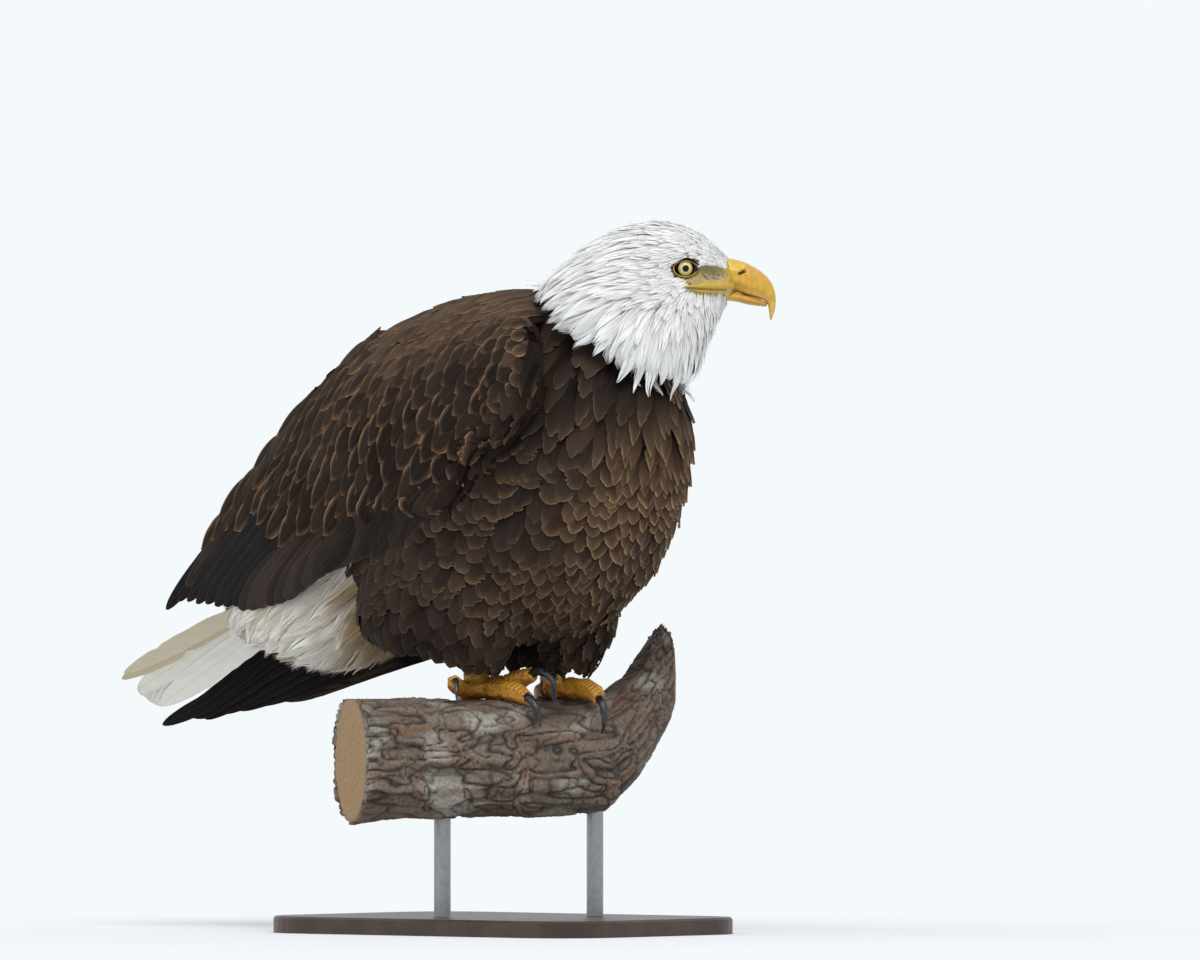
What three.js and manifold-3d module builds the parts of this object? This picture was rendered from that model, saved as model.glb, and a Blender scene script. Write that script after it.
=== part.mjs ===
// A life-size adult bald eagle, standing on a short cut length of thick branch that two rods hold over a
// flat base. Millimetres, +Z up. The origin is the middle of the base's underside. The bird's body faces
// +X, and its head looks 40 degrees to its left. The tail is rolled a little, and the left wing hangs
// lower than the right one.
import * as THREE from "three";
import { mergeVertices } from "three/addons/utils/BufferGeometryUtils.js";
import Module from "manifold-3d";

const wasm = await Module();
wasm.setup();

// ---------------------------------------------------------------- driving dimensions
const GAP = 0.3; // between pieces that touch

const BASE = { length: 400, width: 280, thick: 16, corner: 60, bevel: 2 };
const PERCH = { top: 222, high: 56, wide: 64, yaw: 55, from: -166, to: 150 };
const PERCH_POWER = 2.8; // how square its section is
const PERCH_NEAR = { from: -60, wider: 0.08 }; // its near end is thicker
const PERCH_FAR = { from: 72, thinner: 0.16, rise: 80, back: 30 }; // and its far end turns up
const ROD = { radius: 8, spacing: 150, sunk: 14 };
const BIRD_AHEAD = 34; // of the base's middle, which is under the bird's weight

const HEAD_YAW = 40; // degrees to the bird's left
const NECK_PIVOT = 118; // X of the upright axis that the head turns about
const EYE = { radius: 11, reach: 55.5, height: 409, out: 25.5 };

const TRUNK = { halfWidth: 104, centre: [-20, 215], roundness: 2.4 };
const TAIL = { root: [-215, 150], length: 323, pitch: 27.3, roll: 40, rolledBy: 180, feathers: 6, fan: 6 };
const WING_RIGHT = { side: -1, tipBack: 0, tipDrop: 0, tipOut: 0, wristDrop: 0 };
const WING_LEFT = { side: 1, tipBack: 56, tipDrop: 112, tipOut: 28, wristDrop: 8 };
const WING_TIP = -448;

// The feet stand this far apart along the perch, and this far behind its crest.
const FEET = { apart: 75, behind: 8, crest: [-14, 0] };
// A claw leaves its toe this many degrees up, this far inside its end, this stout beside it.
const CLAW = { early: 16, sunk: 3, stout: 0.58 };
const TOE_REST = 0.8; // how much of a toe's radius its centre line stands over the bark
// Each toe's heading is in degrees to the left of the bird's own heading, its bend is about how far it has
// turned by its end, and its end stands higher by its raise. The claw's chord and turn follow.
const TOES = {
  right: {
    hallux: { heading: 150, bend: 0, length: 38, radius: 10, raise: 5, claw: 42, turn: 112 },
    inner: { heading: 20, bend: -20, length: 56, radius: 10, raise: 20, claw: 40, turn: 152 },
    middle: { heading: -3, bend: -9, length: 65, radius: 9.6, raise: 7, claw: 34, turn: 107 },
    outer: { heading: -102, bend: 90, length: 50, radius: 8, raise: 16, claw: 27, turn: 109 },
  },
  left: {
    hallux: { heading: 150, bend: 0, length: 38, radius: 10, raise: 5, claw: 42, turn: 112 },
    inner: { heading: -56, bend: 4, length: 38, radius: 10, raise: 15, claw: 33, turn: 160 },
    middle: { heading: -4, bend: -29, length: 67, radius: 9.6, raise: 13, claw: 34, turn: 156 },
    outer: { heading: 92, bend: 0, length: 40, radius: 8, raise: 3, claw: 24, turn: 112 },
  },
};

// ---------------------------------------------------------------- helpers
const rad = THREE.MathUtils.degToRad;
const lerp = THREE.MathUtils.lerp;

// Rows of numbers, one row per station, drawn out smoothly to count rows.
function smoothRows(rows, count) {
  const size = rows[0].length;
  const times = rows.map((_, i) => i);
  const curve = new THREE.CubicInterpolant(times, rows.flat(), size);
  return Array.from({ length: count }, (_, i) => [
    ...curve.evaluate((i / (count - 1)) * (rows.length - 1)),
  ]);
}

// A closed surface through rings of equal length. An end is closed by a fan about its middle, or, where
// the ring runs out along one curve and back along another, by a strip between the two.
function loft(rings, cap = "fan") {
  const sides = rings[0].length;
  const points = rings.flat();
  const index = [];
  for (let r = 0; r + 1 < rings.length; r++)
    for (let i = 0; i < sides; i++) {
      const j = (i + 1) % sides;
      const [a, b, c, d] = [
        r * sides + i,
        r * sides + j,
        (r + 1) * sides + i,
        (r + 1) * sides + j,
      ];
      index.push(a, b, d, a, d, c);
    }
  for (const end of [0, rings.length - 1]) {
    const at = end * sides;
    const turn = (a, b, c) => index.push(...(end ? [a, b, c] : [c, b, a]));
    if (cap === "fan") {
      const middle = points.length;
      points.push(
        rings[end]
          .reduce((sum, p) => sum.add(p), new THREE.Vector3())
          .divideScalar(sides),
      );
      for (let i = 0; i < sides; i++)
        turn(at + i, at + ((i + 1) % sides), middle);
    } else {
      for (let i = 0; i < sides / 2 - 1; i++) {
        const back = sides - 1 - i;
        turn(at + i, at + i + 1, at + back);
        turn(at + i + 1, at + back - 1, at + back);
      }
    }
  }
  return new THREE.BufferGeometry().setFromPoints(points).setIndex(index);
}

// A closed geometry as a solid, turned the right way out.
function solid(geometry) {
  const bare = new THREE.BufferGeometry();
  bare.setAttribute("position", geometry.getAttribute("position").clone());
  if (geometry.index) bare.setIndex(geometry.index.clone());
  const merged = mergeVertices(bare, 1e-3);
  const make = (triVerts) =>
    new wasm.Manifold(
      new wasm.Mesh({
        numProp: 3,
        vertProperties: new Float32Array(merged.attributes.position.array),
        triVerts,
      }),
    );
  const triVerts = new Uint32Array(merged.index.array);
  const made = make(triVerts);
  return made.volume() > 0 ? made : make(triVerts.reverse());
}

function geometryOf(made) {
  const { numProp, vertProperties, triVerts } = made.getMesh();
  const position = new Float32Array((vertProperties.length / numProp) * 3);
  for (let i = 0; i < position.length / 3; i++)
    position.set(
      vertProperties.subarray(i * numProp, i * numProp + 3),
      i * 3,
    );
  return new THREE.BufferGeometry()
    .setAttribute("position", new THREE.BufferAttribute(position, 3))
    .setIndex(new THREE.BufferAttribute(new Uint32Array(triVerts), 1));
}

// The same solid with every face moved out by about the gap.
function grown(made, by = GAP) {
  const geometry = geometryOf(made);
  geometry.computeVertexNormals();
  const { position, normal } = geometry.attributes;
  for (let i = 0; i < position.count; i++)
    position.setXYZ(
      i,
      position.getX(i) + normal.getX(i) * by,
      position.getY(i) + normal.getY(i) * by,
      position.getZ(i) + normal.getZ(i) * by,
    );
  return solid(geometry);
}

const largest = (made) =>
  made.decompose().reduce((a, b) => (a.volume() > b.volume() ? a : b));

// What is left of a solid beside its neighbours, with the gap between them.
function beside(made, ...neighbours) {
  for (const other of neighbours) made = made.subtract(grown(other)).subtract(other);
  return largest(made);
}

const join = (pieces) => pieces.reduce((a, b) => a.add(b));

function ellipsoid(centre, radii, turn = [0, 0, 0], around = 10) {
  const matrix = new THREE.Matrix4().compose(
    new THREE.Vector3(...centre),
    new THREE.Quaternion().setFromEuler(
      new THREE.Euler(...turn.map(rad), "ZYX"),
    ),
    new THREE.Vector3(...radii),
  );
  return solid(new THREE.SphereGeometry(1, around, Math.round(around * 0.7)).applyMatrix4(matrix));
}

// A superellipse's share of its half-axis at an angle.
const squircle = (value, power) =>
  Math.sign(value) * Math.abs(value) ** (2 / power);

// ---------------------------------------------------------------- head and neck
// A point of the head's profile: reach ahead of the neck's axis, height over the perch, and how far to the
// left.
function headPoint(reach, height, left = 0, yaw = HEAD_YAW) {
  const [c, s] = [Math.cos(rad(yaw)), Math.sin(rad(yaw))];
  return new THREE.Vector3(
    NECK_PIVOT + reach * c - left * s,
    reach * s + left * c,
    height,
  );
}

// Rings between an upper and a lower profile line, each row being
// [upper reach, upper height, lower reach, lower height, half width, yaw].
function profileLoft(rows, count, sides, power) {
  const rings = smoothRows(rows, count).map(
    ([upReach, upHeight, lowReach, lowHeight, half, yaw]) =>
      Array.from({ length: sides }, (_, i) => {
        const angle = (i / sides) * 2 * Math.PI;
        const along = 0.5 + squircle(Math.cos(angle), power) / 2;
        return headPoint(
          lerp(lowReach, upReach, along),
          lerp(lowHeight, upHeight, along),
          half * squircle(Math.sin(angle), power),
          yaw,
        );
      }),
  );
  return solid(loft(rings));
}

// From the mane's hem over the shoulders, by the nape and the crown, to the root of the bill.
const HEAD_ROWS = [
  [-84, 386, 66, 302, 67, 8],
  [-75, 400, 73, 321, 68, 17],
  [-56, 415, 79, 338, 60, 28],
  [-33, 433, 85, 352, 51, 36],
  [-4, 448, 91, 365, 42, HEAD_YAW],
  [30, 453, 95, 373, 37.5, HEAD_YAW],
  [60, 446, 100, 377, 32, HEAD_YAW],
  [85, 431, 104, 380, 24, HEAD_YAW],
  [101, 417, 106, 383, 16, HEAD_YAW],
];
const HEAD_CUT_ROW = 3; // where the neck ends and the head starts
const HEAD_TAPER = 24; // degrees that each side of the head turns in towards the bill

const UPPER_BILL_ROWS = [
  [95, 419, 95, 388.6, 15, HEAD_YAW],
  [104, 417, 104, 387.5, 15.4, HEAD_YAW],
  [116, 413.5, 113, 384, 14.6, HEAD_YAW],
  [126, 408, 121, 382, 13, HEAD_YAW],
  [134.5, 401, 128, 380, 10.8, HEAD_YAW],
  [140.5, 391, 132, 378.5, 8.4, HEAD_YAW],
  [142.5, 380, 135, 375, 6, HEAD_YAW],
  [141.5, 370, 136, 368, 3.8, HEAD_YAW],
  [138.5, 360.5, 137, 360, 1, HEAD_YAW],
];
const LOWER_BILL_ROWS = [
  [90, 388.6, 90, 380, 17, HEAD_YAW],
  [98, 388.2, 98, 378.6, 16.4, HEAD_YAW],
  [106, 386.2, 106, 377.6, 14.6, HEAD_YAW],
  [116, 383, 116, 375, 12.4, HEAD_YAW],
  [127, 380, 126, 373.6, 9.4, HEAD_YAW],
  [134.5, 376.5, 133.5, 373, 4.5, HEAD_YAW],
];

function makeHead() {
  const whole = profileLoft(HEAD_ROWS, 14, 14, 2.15);
  const eyes = [-1, 1].map((side) => {
    const at = headPoint(EYE.reach, EYE.height, side * EYE.out);
    return ellipsoid([at.x, at.y, at.z], Array(3).fill(EYE.radius), [0, 0, 0], 11);
  });
  const sockets = [-1, 1].map((side) => {
    const at = headPoint(EYE.reach, EYE.height, side * EYE.out);
    return ellipsoid([at.x, at.y, at.z], Array(3).fill(EYE.radius + 4 * GAP), [0, 0, 0], 8);
  });
  // Round each eye is a hollow, under a brow that runs down towards the bill, and the lore before it is
  // sunk.
  const besideHead = (side, [reach, height, out], radii, dip) => {
    const at = headPoint(reach, height, side * out);
    const turn = [0, dip, HEAD_YAW - side * HEAD_TAPER];
    return ellipsoid([at.x, at.y, at.z], radii, turn, 7);
  };
  const brows = [-1, 1].map((side) => besideHead(side, [61, 420, 32], [23, 6, 4.5], 13));
  const hollows = [-1, 1].flatMap((side) => [
    besideHead(side, [56, 407.5, 40], [15, 8, 10.5], 0),
    besideHead(side, [80, 403, 31], [20, 6, 7], 6),
  ]);
  const upper = profileLoft(UPPER_BILL_ROWS, 13, 10, 2.2);
  const lower = beside(profileLoft(LOWER_BILL_ROWS, 6, 8, 2.2), upper);
  const dressed = [...hollows, ...sockets].reduce(
    (made, hollow) => made.subtract(hollow),
    whole.add(join(brows)),
  );
  const cut = HEAD_ROWS[HEAD_CUT_ROW];
  const ahead = 250; // far past the bill
  const behind = profileLoft(
    [
      cut,
      [cut[0] + ahead, cut[1] + ahead, cut[2] + ahead, cut[3], 100, HEAD_YAW],
    ].map(([a, b, c, d, , yaw]) => {
      const reach = 0.6; // lengthens the cutting block past the head's outline
      return [
        a - (c - a) * reach,
        b - (d - b) * reach,
        c + (c - a) * reach,
        d + (d - b) * reach,
        120,
        yaw,
      ];
    }),
    2,
    4,
    2,
  );
  const bill = [upper, lower].map((piece) => grown(piece, 1.7 * GAP));
  const head = beside(dressed.intersect(behind), ...bill);
  const neck = largest(dressed.subtract(grown(behind)));
  return { head, neck, upper, lower, eyes };
}

// ---------------------------------------------------------------- trunk
// The outline from the side, [X, height over the perch], from the nape over the back to the vent, belly
// and breast.
const TRUNK_OUTLINE = {
  nape: [32, 394],
  mantle: [-37, 390],
  back: [-112, 373],
  lowerBack: [-185, 330],
  rump: [-235, 262],
  tailRoot: [-250, 190],
  vent: [-205, 118],
  flank: [-120, 66],
  belly: [-20, 52],
  lowerBreast: [86, 76],
  keel: [146, 140],
  breast: [176, 222],
  collar: [172, 292],
  throat: [128, 344],
};

// A rounded body that has that outline at its middle and narrows to both sides.
function makeTrunk() {
  const [centreX, centreZ] = TRUNK.centre;
  const outline = new THREE.CatmullRomCurve3(
    Object.values(TRUNK_OUTLINE).map(([x, z]) => new THREE.Vector3(x, 0, z)),
    true,
  ).getPoints(22);
  outline.pop(); // the closed curve's last point is its first
  const rings = [];
  const levels = 10;
  for (let level = 0; level < levels; level++) {
    const angle = lerp(-88, 88, level / (levels - 1));
    const across = TRUNK.halfWidth * squircle(Math.sin(rad(angle)), TRUNK.roundness);
    const share = squircle(Math.cos(rad(angle)), TRUNK.roundness);
    rings.push(
      outline.map(
        (p) =>
          new THREE.Vector3(
            lerp(centreX, p.x, share),
            across,
            lerp(centreZ, p.z, share),
          ),
      ),
    );
  }
  return solid(loft(rings));
}

// ---------------------------------------------------------------- wings
// The folded wing, in sections across the body from the shoulder to the tip: [X, lower edge out, lower
// edge height, upper edge out, upper edge height, bulge, covert line]. The covert line is the share of the
// way up the section at which the coverts end and the flight feathers show.
const WING_ROWS = [
  [108, 110, 284, 101, 310, 2, 0.0],
  [92, 114, 255, 84, 347, 8, 0.0],
  [58, 117, 226, 64, 371, 13, 0.0],
  [20, 117, 193, 50, 386, 15, 0.0],
  [-25, 114, 163, 41, 390, 15, 0.02],
  [-78, 109, 147, 32, 380, 14, 0.07],
  [-137, 98, 136, 25, 363, 12, 0.08],
  [-197, 85, 117, 20, 333, 10, 0.1],
  [-256, 70, 92, 15, 288, 8, 0.17],
  [-313, 55, 84, 11, 232, 6, 0.26],
  [-379, 38, 82, 8, 161, 3, 0.5],
  [WING_TIP, 16, 72, 2, 92, 1, 0.7],
];
const [DROOP_FROM, DROOP_TO, DROOP_POWER] = [60, -400, 1.7];
const COVERTS_END = 0.92; // of the way from the shoulder to the wing's tip
const COVERT_STEPS = 11;
const ROOM_TOP = 1.01; // the room kept for a wing ends a little above the wing's upper edge
const WING_THICK = 15; // at the middle of the coverts
const FLIGHT_THICK = 5;
// Where the primaries end: how far along the wing, and how far up its section there.
const PRIMARY_TIPS = [
  [0.83, 0.1],
  [0.88, 0.08],
  [0.93, 0.16],
  [0.965, 0.4],
  [1, 0.5],
];

// How much of the left wing's drop and length a place along the wing takes.
const droopShare = (x) =>
  Math.min(1, Math.max(0, DROOP_FROM - x) / (DROOP_FROM - DROOP_TO)) ** DROOP_POWER;

// The wing's outer surface: station is 0 at the shoulder and 1 at the tip, up is 0 at the lower edge and 1
// at the back, and inward is the depth below the surface.
function wingSurface(wing) {
  const curve = new THREE.CubicInterpolant(
    WING_ROWS.map((_, i) => i),
    WING_ROWS.flat(),
    WING_ROWS[0].length,
  );
  return (station, up, inward = 0) => {
    const [x, lowOut, lowZ, topOut, topZ, bulge] = curve.evaluate(
      station * (WING_ROWS.length - 1),
    );
    const bend = new THREE.QuadraticBezierCurve(
      new THREE.Vector2(lowOut, lowZ),
      new THREE.Vector2(lowOut + bulge, topZ - 0.1 * (topZ - lowZ)),
      new THREE.Vector2(topOut, topZ),
    );
    const point = bend.getPoint(up);
    const along = bend.getTangent(Math.min(1, up));
    const share = droopShare(x);
    return new THREE.Vector3(
      x - wing.tipBack * share,
      wing.side * (point.x - along.y * inward + wing.tipOut * share),
      point.y +
        along.x * inward -
        wing.tipDrop * share -
        wing.wristDrop * (1 - share) * (1 - up),
    );
  };
}

const covertLine = (station) =>
  new THREE.CubicInterpolant(
    WING_ROWS.map((_, i) => i),
    WING_ROWS.map((row) => row[6]),
    1,
  ).evaluate(station * (WING_ROWS.length - 1))[0];

// A shell on the wing's surface between two lines up it, thinned towards its edges.
function wingShell(surface, { from, to, low, high, thick, depth, steps, across }) {
  const rings = [];
  for (let step = 0; step <= steps; step++) {
    const station = lerp(from, to, step / steps);
    const [bottom, top] = [low(station), high(station)];
    const edge = Math.sin(Math.PI * Math.min(0.5, (step + 0.5) / 3));
    const outer = [];
    const inner = [];
    for (let i = 0; i <= across; i++) {
      const up = lerp(bottom, top, i / across);
      const full = Math.sin(Math.PI * lerp(0.12, 0.88, i / across));
      outer.push(surface(station, up, depth));
      inner.push(surface(station, up, depth + 0.8 + thick * full * edge));
    }
    rings.push([...outer, ...inner.reverse()]);
  }
  return largest(solid(loft(rings, "strip")));
}

// One long flight feather lying under the shell, from its root to its tip on the wing. Its half width is
// in millimetres, and a place up the wing is a share of the section there.
function flightBlade(surface, root, tip, half, depth) {
  const rings = [];
  const steps = 4;
  for (let step = 0; step <= steps; step++) {
    const t = Math.sin((step / steps) * Math.PI * 0.5);
    const station = lerp(root[0], tip[0], t);
    const up = lerp(root[1], tip[1], t ** 3);
    const section = surface(station, 1).distanceTo(surface(station, 0));
    const width = (half * Math.sqrt(Math.max(0.12, 1 - t ** 6))) / section;
    const outer = [];
    const inner = [];
    for (const side of [-1, 1]) {
      outer.push(surface(station, up + side * width, depth));
      inner.push(surface(station, up + side * width, depth + 2.4));
    }
    rings.push([...outer, ...inner.reverse()]);
  }
  return solid(loft(rings, "strip"));
}

function makeWing(wing) {
  const surface = wingSurface(wing);
  const coverts = wingShell(surface, {
    from: 0,
    to: COVERTS_END,
    low: covertLine,
    high: () => 1,
    thick: WING_THICK,
    depth: 0,
    steps: COVERT_STEPS,
    across: 4,
  });
  const secondaries = wingShell(surface, {
    from: 0.3,
    to: 0.82,
    low: () => 0,
    high: (station) => covertLine(station) + 0.1,
    thick: FLIGHT_THICK,
    depth: 3,
    steps: 8,
    across: 2,
  });
  // Room for the whole wing, which the body leaves free.
  const room = wingShell(surface, {
    from: 0,
    to: (COVERTS_END * (COVERT_STEPS + 1)) / COVERT_STEPS,
    low: () => 0,
    high: () => ROOM_TOP,
    thick: WING_THICK + 4,
    depth: -2,
    steps: COVERT_STEPS + 1,
    across: 4,
  });
  const blades = PRIMARY_TIPS.map(([tip, up], i) => {
    const order = i / (PRIMARY_TIPS.length - 1);
    const root = [0.66, lerp(0.08, 0.2, order)];
    return flightBlade(surface, root, [tip, up], lerp(16, 11, order), lerp(8, 4, order));
  });
  return {
    room,
    coverts,
    secondaries: beside(secondaries, coverts),
    primaries: beside(join(blades), coverts, secondaries),
  };
}

// ---------------------------------------------------------------- tail
// A point of the tail: along from its root, to the left, and up from its upper face.
function tailPoint(along, left, up) {
  const [x, z] = TAIL.root;
  const roll = TAIL.roll * Math.min(1, Math.max(0, along / TAIL.rolledBy));
  return new THREE.Vector3(-along, left, up)
    .applyEuler(new THREE.Euler(rad(-roll), 0, 0))
    .applyEuler(new THREE.Euler(0, rad(-TAIL.pitch), 0))
    .add(new THREE.Vector3(x, 0, z));
}

// Long feathers in a nearly closed fan, the middle ones on top and longest. Half of the twelve lie hidden.
function makeTail() {
  const feathers = Array.from({ length: TAIL.feathers }, (_, i) => {
    const order = (i / (TAIL.feathers - 1)) * 2 - 1;
    const length = TAIL.length * (1 - 0.05 * order * order);
    const lift = 3 - 6 * Math.abs(order);
    const [c, s] = [
      Math.cos(rad(TAIL.fan * 0.5 * order)),
      Math.sin(rad(TAIL.fan * 0.5 * order)),
    ];
    const rings = [];
    for (const t of [0, 0.6, 0.93, 1]) {
      const along = length * t;
      const half = lerp(13, 19, t) * Math.sqrt(Math.max(0.16, 1 - t ** 22));
      rings.push(
        [
          [-half, 1.4],
          [half, 1.4],
          [half, -1.4],
          [-half, -1.4],
        ].map(([left, up]) =>
          tailPoint(
            along * c - left * s,
            order * 7 + along * s + left * c,
            lift + up,
          ),
        ),
      );
    }
    return solid(loft(rings, "strip"));
  });
  return join(feathers);
}

// The soft coverts round the tail's root, deep below and thin above:
// [along, half width, up, down].
const TAIL_COVERT_ROWS = [
  [-34, 62, 16, 92],
  [2, 62, 18, 112],
  [48, 56, 15, 112],
  [92, 46, 11, 88],
  [132, 36, 8, 50],
  [168, 22, 5, 18],
];

function makeTailCoverts() {
  const sides = 12;
  const rings = smoothRows(TAIL_COVERT_ROWS, 7).map(
    ([along, half, up, down]) =>
      Array.from({ length: sides }, (_, i) => {
        const angle = (i / sides) * 2 * Math.PI;
        const rise = squircle(Math.sin(angle), 2.2);
        return tailPoint(
          along,
          half * squircle(Math.cos(angle), 2.2),
          rise * (rise > 0 ? up : down),
        );
      }),
  );
  return solid(loft(rings));
}

// ---------------------------------------------------------------- legs and feet
// The feathered thigh in level rings, for the right leg:
// [height, ahead, aside, half length, half width].
const THIGH_ROWS = [
  [176, -38, 58, 62, 32],
  [128, -42, 62, 90, 42],
  [88, -42, 62, 96, 46],
  [60, -38, 57, 90, 43],
  [44, -26, 50, 70, 36],
  [34, -9, 42, 44, 28],
  [28, 1, 34, 24, 20],
];

function makeThigh(side) {
  const sides = 14;
  const foot = footAt(side);
  const [high] = THIGH_ROWS[0];
  const rings = smoothRows(THIGH_ROWS, 9).map(
    ([height, ahead, aside, long, half]) =>
      Array.from({ length: sides }, (_, i) => {
        const angle = (i / sides) * 2 * Math.PI;
        const lead = (foot.x * (high - height)) / high;
        return new THREE.Vector3(
          lead + ahead + long * Math.cos(angle),
          side * aside + half * Math.sin(angle),
          height,
        );
      }),
  );
  return solid(loft(rings));
}

// The perch's section is a broad rounded square. This gives, for a distance over its surface from the
// crest towards its front, how far across and how high that lies, and which way is out.
function overPerch(distance) {
  const step = rad(0.5);
  const at = (round) =>
    new THREE.Vector2(
      PERCH.wide * squircle(Math.sin(round), PERCH_POWER),
      PERCH.high * squircle(Math.cos(round), PERCH_POWER),
    );
  let round = 0;
  let here = at(0);
  for (let gone = 0; gone < Math.abs(distance); round += step) {
    const next = at(round + step);
    gone += next.distanceTo(here);
    here = next;
  }
  const way = at(round + step).sub(at(Math.max(0, round - step))).normalize();
  const sign = Math.sign(distance) || 1;
  return {
    across: sign * here.x,
    height: here.y,
    out: new THREE.Vector2(-sign * way.y, way.x),
  };
}

const perchAxis = new THREE.Vector2(Math.cos(rad(PERCH.yaw)), Math.sin(rad(PERCH.yaw)));
const perchFront = new THREE.Vector2(perchAxis.y, -perchAxis.x);

// A point beside the perch's axis, from places along it, across it towards its front, and up from it.
function perchPoint(along, across, up) {
  const [x, y] = FEET.crest;
  return new THREE.Vector3(
    x + perchAxis.x * along + perchFront.x * across,
    y + perchAxis.y * along + perchFront.y * across,
    up - PERCH.high,
  );
}

// A foot's middle on the perch's top.
const footAt = (side) => perchPoint((side * FEET.apart) / 2, -FEET.behind, PERCH.high);

// Where a toe's centre line is, at a distance from the foot's middle, following the perch's surface.
function toeLine(side, toe) {
  const way = new THREE.Vector2(Math.cos(rad(toe.heading)), Math.sin(rad(toe.heading)));
  const left = new THREE.Vector2(-way.y, way.x);
  return (distance, lift = 0) => {
    const aside = (rad(toe.bend) * distance ** 3) / (3 * toe.length ** 2);
    const place = way.clone().multiplyScalar(distance).addScaledVector(left, aside);
    const { across, height, out } = overPerch(place.dot(perchFront) - FEET.behind);
    const high = toe.radius * TOE_REST + lift;
    return perchPoint(
      (side * FEET.apart) / 2 + place.dot(perchAxis),
      across + out.x * high,
      height + out.y * high,
    );
  };
}

// A round tube along points, with a radius for each.
function tube(points, radii, sides) {
  const curve = new THREE.CatmullRomCurve3(points);
  const frames = curve.computeFrenetFrames(points.length - 1);
  const rings = points.map((point, k) =>
    Array.from({ length: sides }, (_, i) => {
      const angle = (i / sides) * 2 * Math.PI;
      return point
        .clone()
        .addScaledVector(frames.normals[k], radii[k] * Math.cos(angle))
        .addScaledVector(frames.binormals[k], radii[k] * Math.sin(angle));
    }),
  );
  return solid(loft(rings));
}

// The toe bulges at its joints, and its end stands up by its own raise before the claw.
function toeLift(toe, t) {
  return 4 * (1 - t) ** 2 + toe.raise * t * t;
}

function makeToe(side, toe) {
  const line = toeLine(side, toe);
  const steps = 6;
  const points = [];
  const radii = [];
  for (let k = 0; k <= steps; k++) {
    const t = k / steps;
    points.push(line(toe.length * t, toeLift(toe, t)));
    const joint = 1 + 0.07 * Math.cos(t * 3 * 2 * Math.PI);
    const close = k === steps ? 0.66 : 1;
    radii.push(toe.radius * lerp(1.08, 0.9, t) * joint * close);
  }
  return tube(points, radii, 6);
}

// A horn that leaves the toe's end and curls down to the bark.
function makeClaw(side, toe) {
  const line = toeLine(side, toe);
  const at = line(toe.length, toe.raise + 1);
  const ahead = at
    .clone()
    .sub(line(toe.length - 6, toeLift(toe, 1 - 6 / toe.length) + 1))
    .normalize();
  const below = line(toe.length, toe.raise - 4).sub(at);
  const down = below.addScaledVector(ahead, -below.dot(ahead)).normalize();
  const [turn, early] = [rad(toe.turn), rad(CLAW.early)];
  const bend = toe.claw / (2 * Math.sin(turn / 2));
  const steps = 5;
  const points = [];
  const radii = [];
  for (let k = 0; k <= steps; k++) {
    const t = k / steps;
    const angle = turn * t - early;
    const forward = bend * (Math.sin(angle) + Math.sin(early)) - CLAW.sunk;
    points.push(
      at
        .clone()
        .addScaledVector(ahead, forward)
        .addScaledVector(down, bend * (Math.cos(early) - Math.cos(angle))),
    );
    radii.push(Math.max(0.4, toe.radius * CLAW.stout * (1 - t) ** 0.72));
  }
  return tube(points, radii, 5);
}

function makeFoot(side) {
  const toes = Object.entries(TOES[side < 0 ? "right" : "left"]);
  const heel = footAt(side);
  const at = (ahead, up) => heel.clone().add(new THREE.Vector3(ahead, 0, up));
  const tarsus = tube([at(0, 12), at(-2, 22), at(-4, 36)], [14, 13, 12], 7);
  const pad = ellipsoid([heel.x, heel.y, heel.z + 11], [18, 17, 11], [0, 0, 0], 7);
  const claws = Object.fromEntries(toes.map(([name, toe]) => [name, makeClaw(side, toe)]));
  const whole = join([tarsus, pad, ...toes.map(([, toe]) => makeToe(side, toe))]);
  return { foot: beside(whole, ...Object.values(claws)), claws };
}

// ---------------------------------------------------------------- perch and stand
// The branch is thicker at its near end, turns up and away from the feet at its far end, and its bark
// stands in long ridges.
function perchShares(along) {
  const near = Math.max(0, PERCH_NEAR.from - along) / (PERCH_NEAR.from - PERCH.from);
  const far = Math.max(0, along - PERCH_FAR.from) / (PERCH.to - PERCH_FAR.from);
  return [near, far];
}

function makePerch() {
  const [sides, steps] = [16, 9];
  const rings = [];
  for (let k = 0; k <= steps; k++) {
    const along = lerp(PERCH.from, PERCH.to, k / steps);
    const [near, far] = perchShares(along);
    const taper = PERCH_NEAR.wider * near - PERCH_FAR.thinner * far;
    rings.push(
      Array.from({ length: sides }, (_, i) => {
        const round = (i / sides) * 2 * Math.PI;
        const ridge = 1.4 * Math.sin(round * 7 + along * 0.05);
        const knot = 1.5 * Math.sin(round * 3 - along * 0.07);
        const size = 1 + (ridge + knot) / PERCH.high + taper;
        const across = size * PERCH.wide * squircle(Math.sin(round), PERCH_POWER);
        const up = size * PERCH.high * squircle(Math.cos(round), PERCH_POWER);
        return perchPoint(
          along,
          across - PERCH_FAR.back * far ** 2,
          up + PERCH_FAR.rise * far ** 1.5,
        );
      }),
    );
  }
  return solid(loft(rings));
}

function makeRod(side) {
  const at = perchPoint((side * ROD.spacing) / 2, 0, 0);
  const floor = BASE.thick + GAP - PERCH.top;
  const top = -2 * PERCH.high + ROD.sunk;
  const rod = new THREE.CylinderGeometry(ROD.radius, ROD.radius, top - floor, 16);
  rod.rotateX(Math.PI / 2);
  rod.translate(at.x, at.y, (top + floor) / 2);
  return solid(rod);
}

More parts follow.
